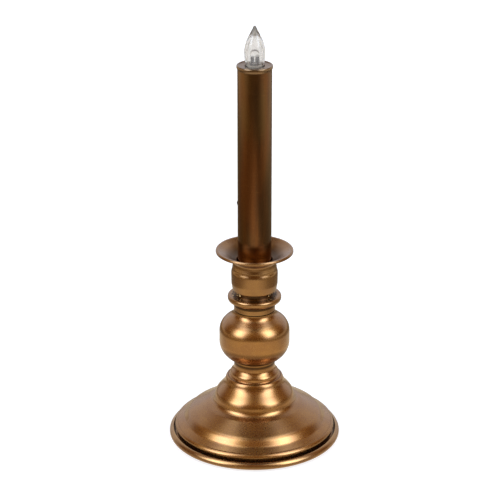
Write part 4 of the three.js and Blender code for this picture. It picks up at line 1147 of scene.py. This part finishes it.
# %% Battery door
HINGE_Y, HINGE_Z = -24.0, 1.5
door_low, door_high = (-30.8, HINGE_Y, 1.0), (30.8, 24.3, 2.0)
groove_y = 21.3 - 2.2 * np.arange(3)
groove_lines = (groove_y[:, None] + np.array([-0.7, -0.5, -0.3, 0, 0.3, 0.5, 0.7])).ravel()
door = rounded_box(door_low, door_high, 0.25, (np.linspace(-8, 8, 17), groove_lines, ()))
door_x, door_y, door_z = door.points.T
to_groove = np.abs(door_y[:, None] - groove_y).min(axis=1)
dip = 0.42 * np.clip((0.65 - to_groove) / 0.3, 0, 1) * np.clip((7.5 - np.abs(door_x)) / 1.0, 0, 1)
door.points[:, 2] += dip * (door_z < 1.4)
along_x = [[0, 0, 1], [0, 1, 0], [-1, 0, 0]]
door_parts = [door]
for radius, end in ((0.5, 30.8), (0.45, 32.2)):
    outline = cornered([(0, -end), (radius, -end, 0.1), (radius, end, 0.1), (0, end)], gap=3)
    barrel = lathe(outline, closed=False, turns=24)
    door_parts.append(barrel.moved((0, HINGE_Y, HINGE_Z), along_x))
make_piece("battery_door", door_parts, black_moulding)


# %% Softened copies of moulded CAD parts
def softened(node, width_mm, finish):
    """A copy of a node's mesh: loose triangles joined, flat faces merged, and the edges bevelled."""
    mesh = frame["nodes"][node].data.copy()
    mesh.materials.clear()
    rough = new_object(node + "_rough", mesh)
    weld = rough.modifiers.new("join", "WELD")
    weld.merge_threshold = 0.00002
    flatten = rough.modifiers.new("flatten", "DECIMATE")
    flatten.decimate_type = "DISSOLVE"
    flatten.angle_limit = math.radians(1)
    bevel = rough.modifiers.new("bevel", "BEVEL")
    bevel.width = width_mm * MM
    bevel.segments = 2
    bevel.limit_method = "ANGLE"
    bevel.angle_limit = math.radians(40)
    bevel.harden_normals = True
    evaluated = rough.evaluated_get(bpy.context.evaluated_depsgraph_get())
    final = bpy.data.meshes.new_from_object(evaluated)
    final.name = node + "_finished"
    bpy.data.objects.remove(rough)
    stand_in(node, final, finish, crease=30)


softened("battery_tray", 0.12, black_moulding)
softened("switch_housing", 0.15, black_moulding)

# %% Switch knob
knob_stem = rounded_box((-1.4, 31.6, 0.6), (1.4, 34.4, 3.8), 0.2, (np.linspace(-1.2, 1.2, 25), (), ()))
knob_x, knob_z = knob_stem.points[:, 0], knob_stem.points[:, 2]
ridge = 0.12 * (1 + np.cos(2 * np.pi * knob_x / 0.8))
knob_stem.points[:, 2] += (0.24 - ridge) * (knob_z < 0.9)
knob_head = rounded_box((-2.4, 30.6, 3.3), (2.4, 35.4, 5.0), 0.2)
make_piece("switch_knob", [knob_stem, knob_head], white_moulding)

# %% [markdown]
# ## Inside the foot
#
# With the door open, three cells lie side by side, each between a coil spring and a flat contact.

# %% Cell sleeves
CELL_PITCH, CELL_Z = 15.6, 9.65
STEEL = (0.6, 0.6, 0.58)


def sleeve(name, colour, band):
    """A printed sleeve over a steel can: plain colour, a band at each end, and bare steel ends."""
    finish = Finish(name)
    from_middle = finish.axis("X").math("ABSOLUTE")
    bare = from_middle.between(0.0229, 0.0231)
    stripe = from_middle.between(0.0150, 0.0152) * (1 - from_middle.between(0.0168, 0.0170))
    speck = finish.noise(0.8)
    darker = [channel * 0.7 for channel in colour]
    skin = finish.layers(colour, (speck * 0.35, darker), (stripe, band), (bare, STEEL))
    finish.feed(Base_Color=skin, Roughness=0.28 + speck * 0.1, Metallic=0.3 + bare * 0.7)
    return finish.bump(speck, 0.01, 0.3)


cell_sleeve = sleeve("cell_sleeve", (0.035, 0.16, 0.15), (0.55, 0.42, 0.12))
cell_outline = cornered([
    (0, -23.5), (6.2, -23.5, 0.2), (6.4, -23.3, 0.1), (7.25, -23.3, 0.6), (7.25, 26.0, 0.9),
    (5.4, 26.0, 0.2), (5.0, 25.6, 0.2), (3.3, 25.7, 0.3), (2.75, 26.0, 0.3), (2.75, 27.0, 0.35),
    (0, 27.0),
], step=8, gap=2.0)
for number, facing in enumerate((1, -1, 1), 1):
    y = CELL_PITCH * (number - 2)
    toward_x = [[0, 0, facing], [0, 1, 0], [-facing, 0, 0]]
    cell = lathe(cell_outline, closed=False, turns=96).moved((0, y, CELL_Z), toward_x)
    make_piece(f"battery_cell_{number}", cell, cell_sleeve)
    spring = coil((-facing * 26.55, y, CELL_Z), (facing * 2.6, 0, 0), (0, 1, 0), 2.5, 4.2, 2.9)
    make_piece(f"battery_spring_{number}", pipe(spring, 0.35, (1, 0, 0)), zinc)


# %% Contact plates
def contact_plate(side, low_y, high_y, tab_y=None):
    """A strip of spring steel against an end wall, with a tab where a wire starts."""
    near, far = sorted((side * 27.0, side * 27.4))
    lines = np.linspace(low_y, high_y, round((high_y - low_y) / 0.6))
    grid = ((), lines, np.linspace(5, 12.3, 13))
    parts = [rounded_box((near, low_y, 4.85), (far, high_y, 12.45), 0.12, grid)]
    if tab_y is not None:
        near, far = sorted((side * 27.1, side * 29.2))
        parts.append(rounded_box((near, tab_y - 1, 10.5), (far, tab_y + 1, 11.5), 0.12))
    return parts


make_piece("contact_plate_positive", contact_plate(1, 10.8, 20.4, CELL_PITCH), zinc)
make_piece("contact_plate_negative", contact_plate(-1, -20.4, -10.8, -CELL_PITCH), zinc)
make_piece("contact_bridge_1", contact_plate(1, -20.4, 4.8), zinc)
make_piece("contact_bridge_2", contact_plate(-1, -4.8, 20.4), zinc)

# %% Circuit board and chip
board_lacquer = Finish("board_lacquer", Coat_Weight=0.4)
tracks = (board_lacquer.axis("Y") * 900.0).math("SINE").between(0.75, 0.9)
tracks = tracks * (board_lacquer.axis("Z") * 260.0).math("SINE").between(-0.3, -0.2)
grain = board_lacquer.noise(0.6)
mask = board_lacquer.layers((0.012, 0.115, 0.045), (grain, (0.010, 0.085, 0.035)),
                            (tracks, (0.035, 0.20, 0.075)))
board_lacquer.feed(Base_Color=mask, Roughness=0.32 + grain * 0.15)
board_lacquer.bump(tracks, 0.03, 0.5)
make_piece("circuit_board", rounded_box((-0.8, -8, 108), (0.8, 8, 160), 0.1), board_lacquer.material)
legs = [rounded_box((0.8, y, z), (1.5, y + 0.7, z + 0.4), 0.08)
        for y in (-2.6, 1.9) for z in 126.4 + 1.2 * np.arange(4)]
make_piece("timer_chip", [rounded_box((0.95, -2, 126), (2.3, 2, 131), 0.2), *legs], black_moulding)

# %% [markdown]
# ## Wires
#
# Five insulated wires. Two run up the hollow rod to the board in the tube, and two go on to the
# socket.

# %% Wires along smooth lines
wire_routes = {
    "wire_battery_board": (black_insulation, (0, 1, 0), [
        (-30.1, -15.6, 11.0), (-29.9, -13.2, 13.4), (-26, -9.5, 16.0), (-18, -7.8, 17.5),
        (-8, -4, 21.5), (-1.5, -0.6, 26.6), (-1.5, 0, 32.1), (-1.5, 0, 60), (-1.5, 0, 102),
        (-1.5, 0, 112)]),
    "wire_battery_switch": (red_insulation, (0, 0, 1), [
        (30.1, 15.6, 11.0), (29.8, 18, 13.9), (24, 23.2, 15.6), (10, 28.5, 14.8), (3.4, 32, 12.4),
        (2.5, 33, 9.5)]),
    "wire_switch_board": (red_insulation, (1, 0, 0), [
        (0, 33, 9.5), (0, 32.4, 12), (0.5, 27, 15.4), (1, 18, 19.8), (1.5, 8, 22.5), (1.5, 0.8, 26.6),
        (1.5, 0, 32.1), (1.5, 0, 60), (1.5, 0, 102), (1.5, 0, 112)]),
    "wire_lamp_1": (black_insulation, (1, 1, 0), [
        (-1.5, 4, 152), (-1.5, 4, 160), (-2.8, 3, 174), (-4, 0, 189.4), (-4, 0, 203.1)]),
    "wire_lamp_2": (red_insulation, (1, -1, 0), [
        (1.5, 4, 152), (1.5, 4, 160), (2.8, 3, 174), (4, 0, 189.4), (4, 0, 203.1)]),
}
for node, (insulation, level, marks) in wire_routes.items():
    wire = pipe(through(marks, per=12), 0.6, level, sides=16)
    make_piece(node, wire, insulation, crease=60)
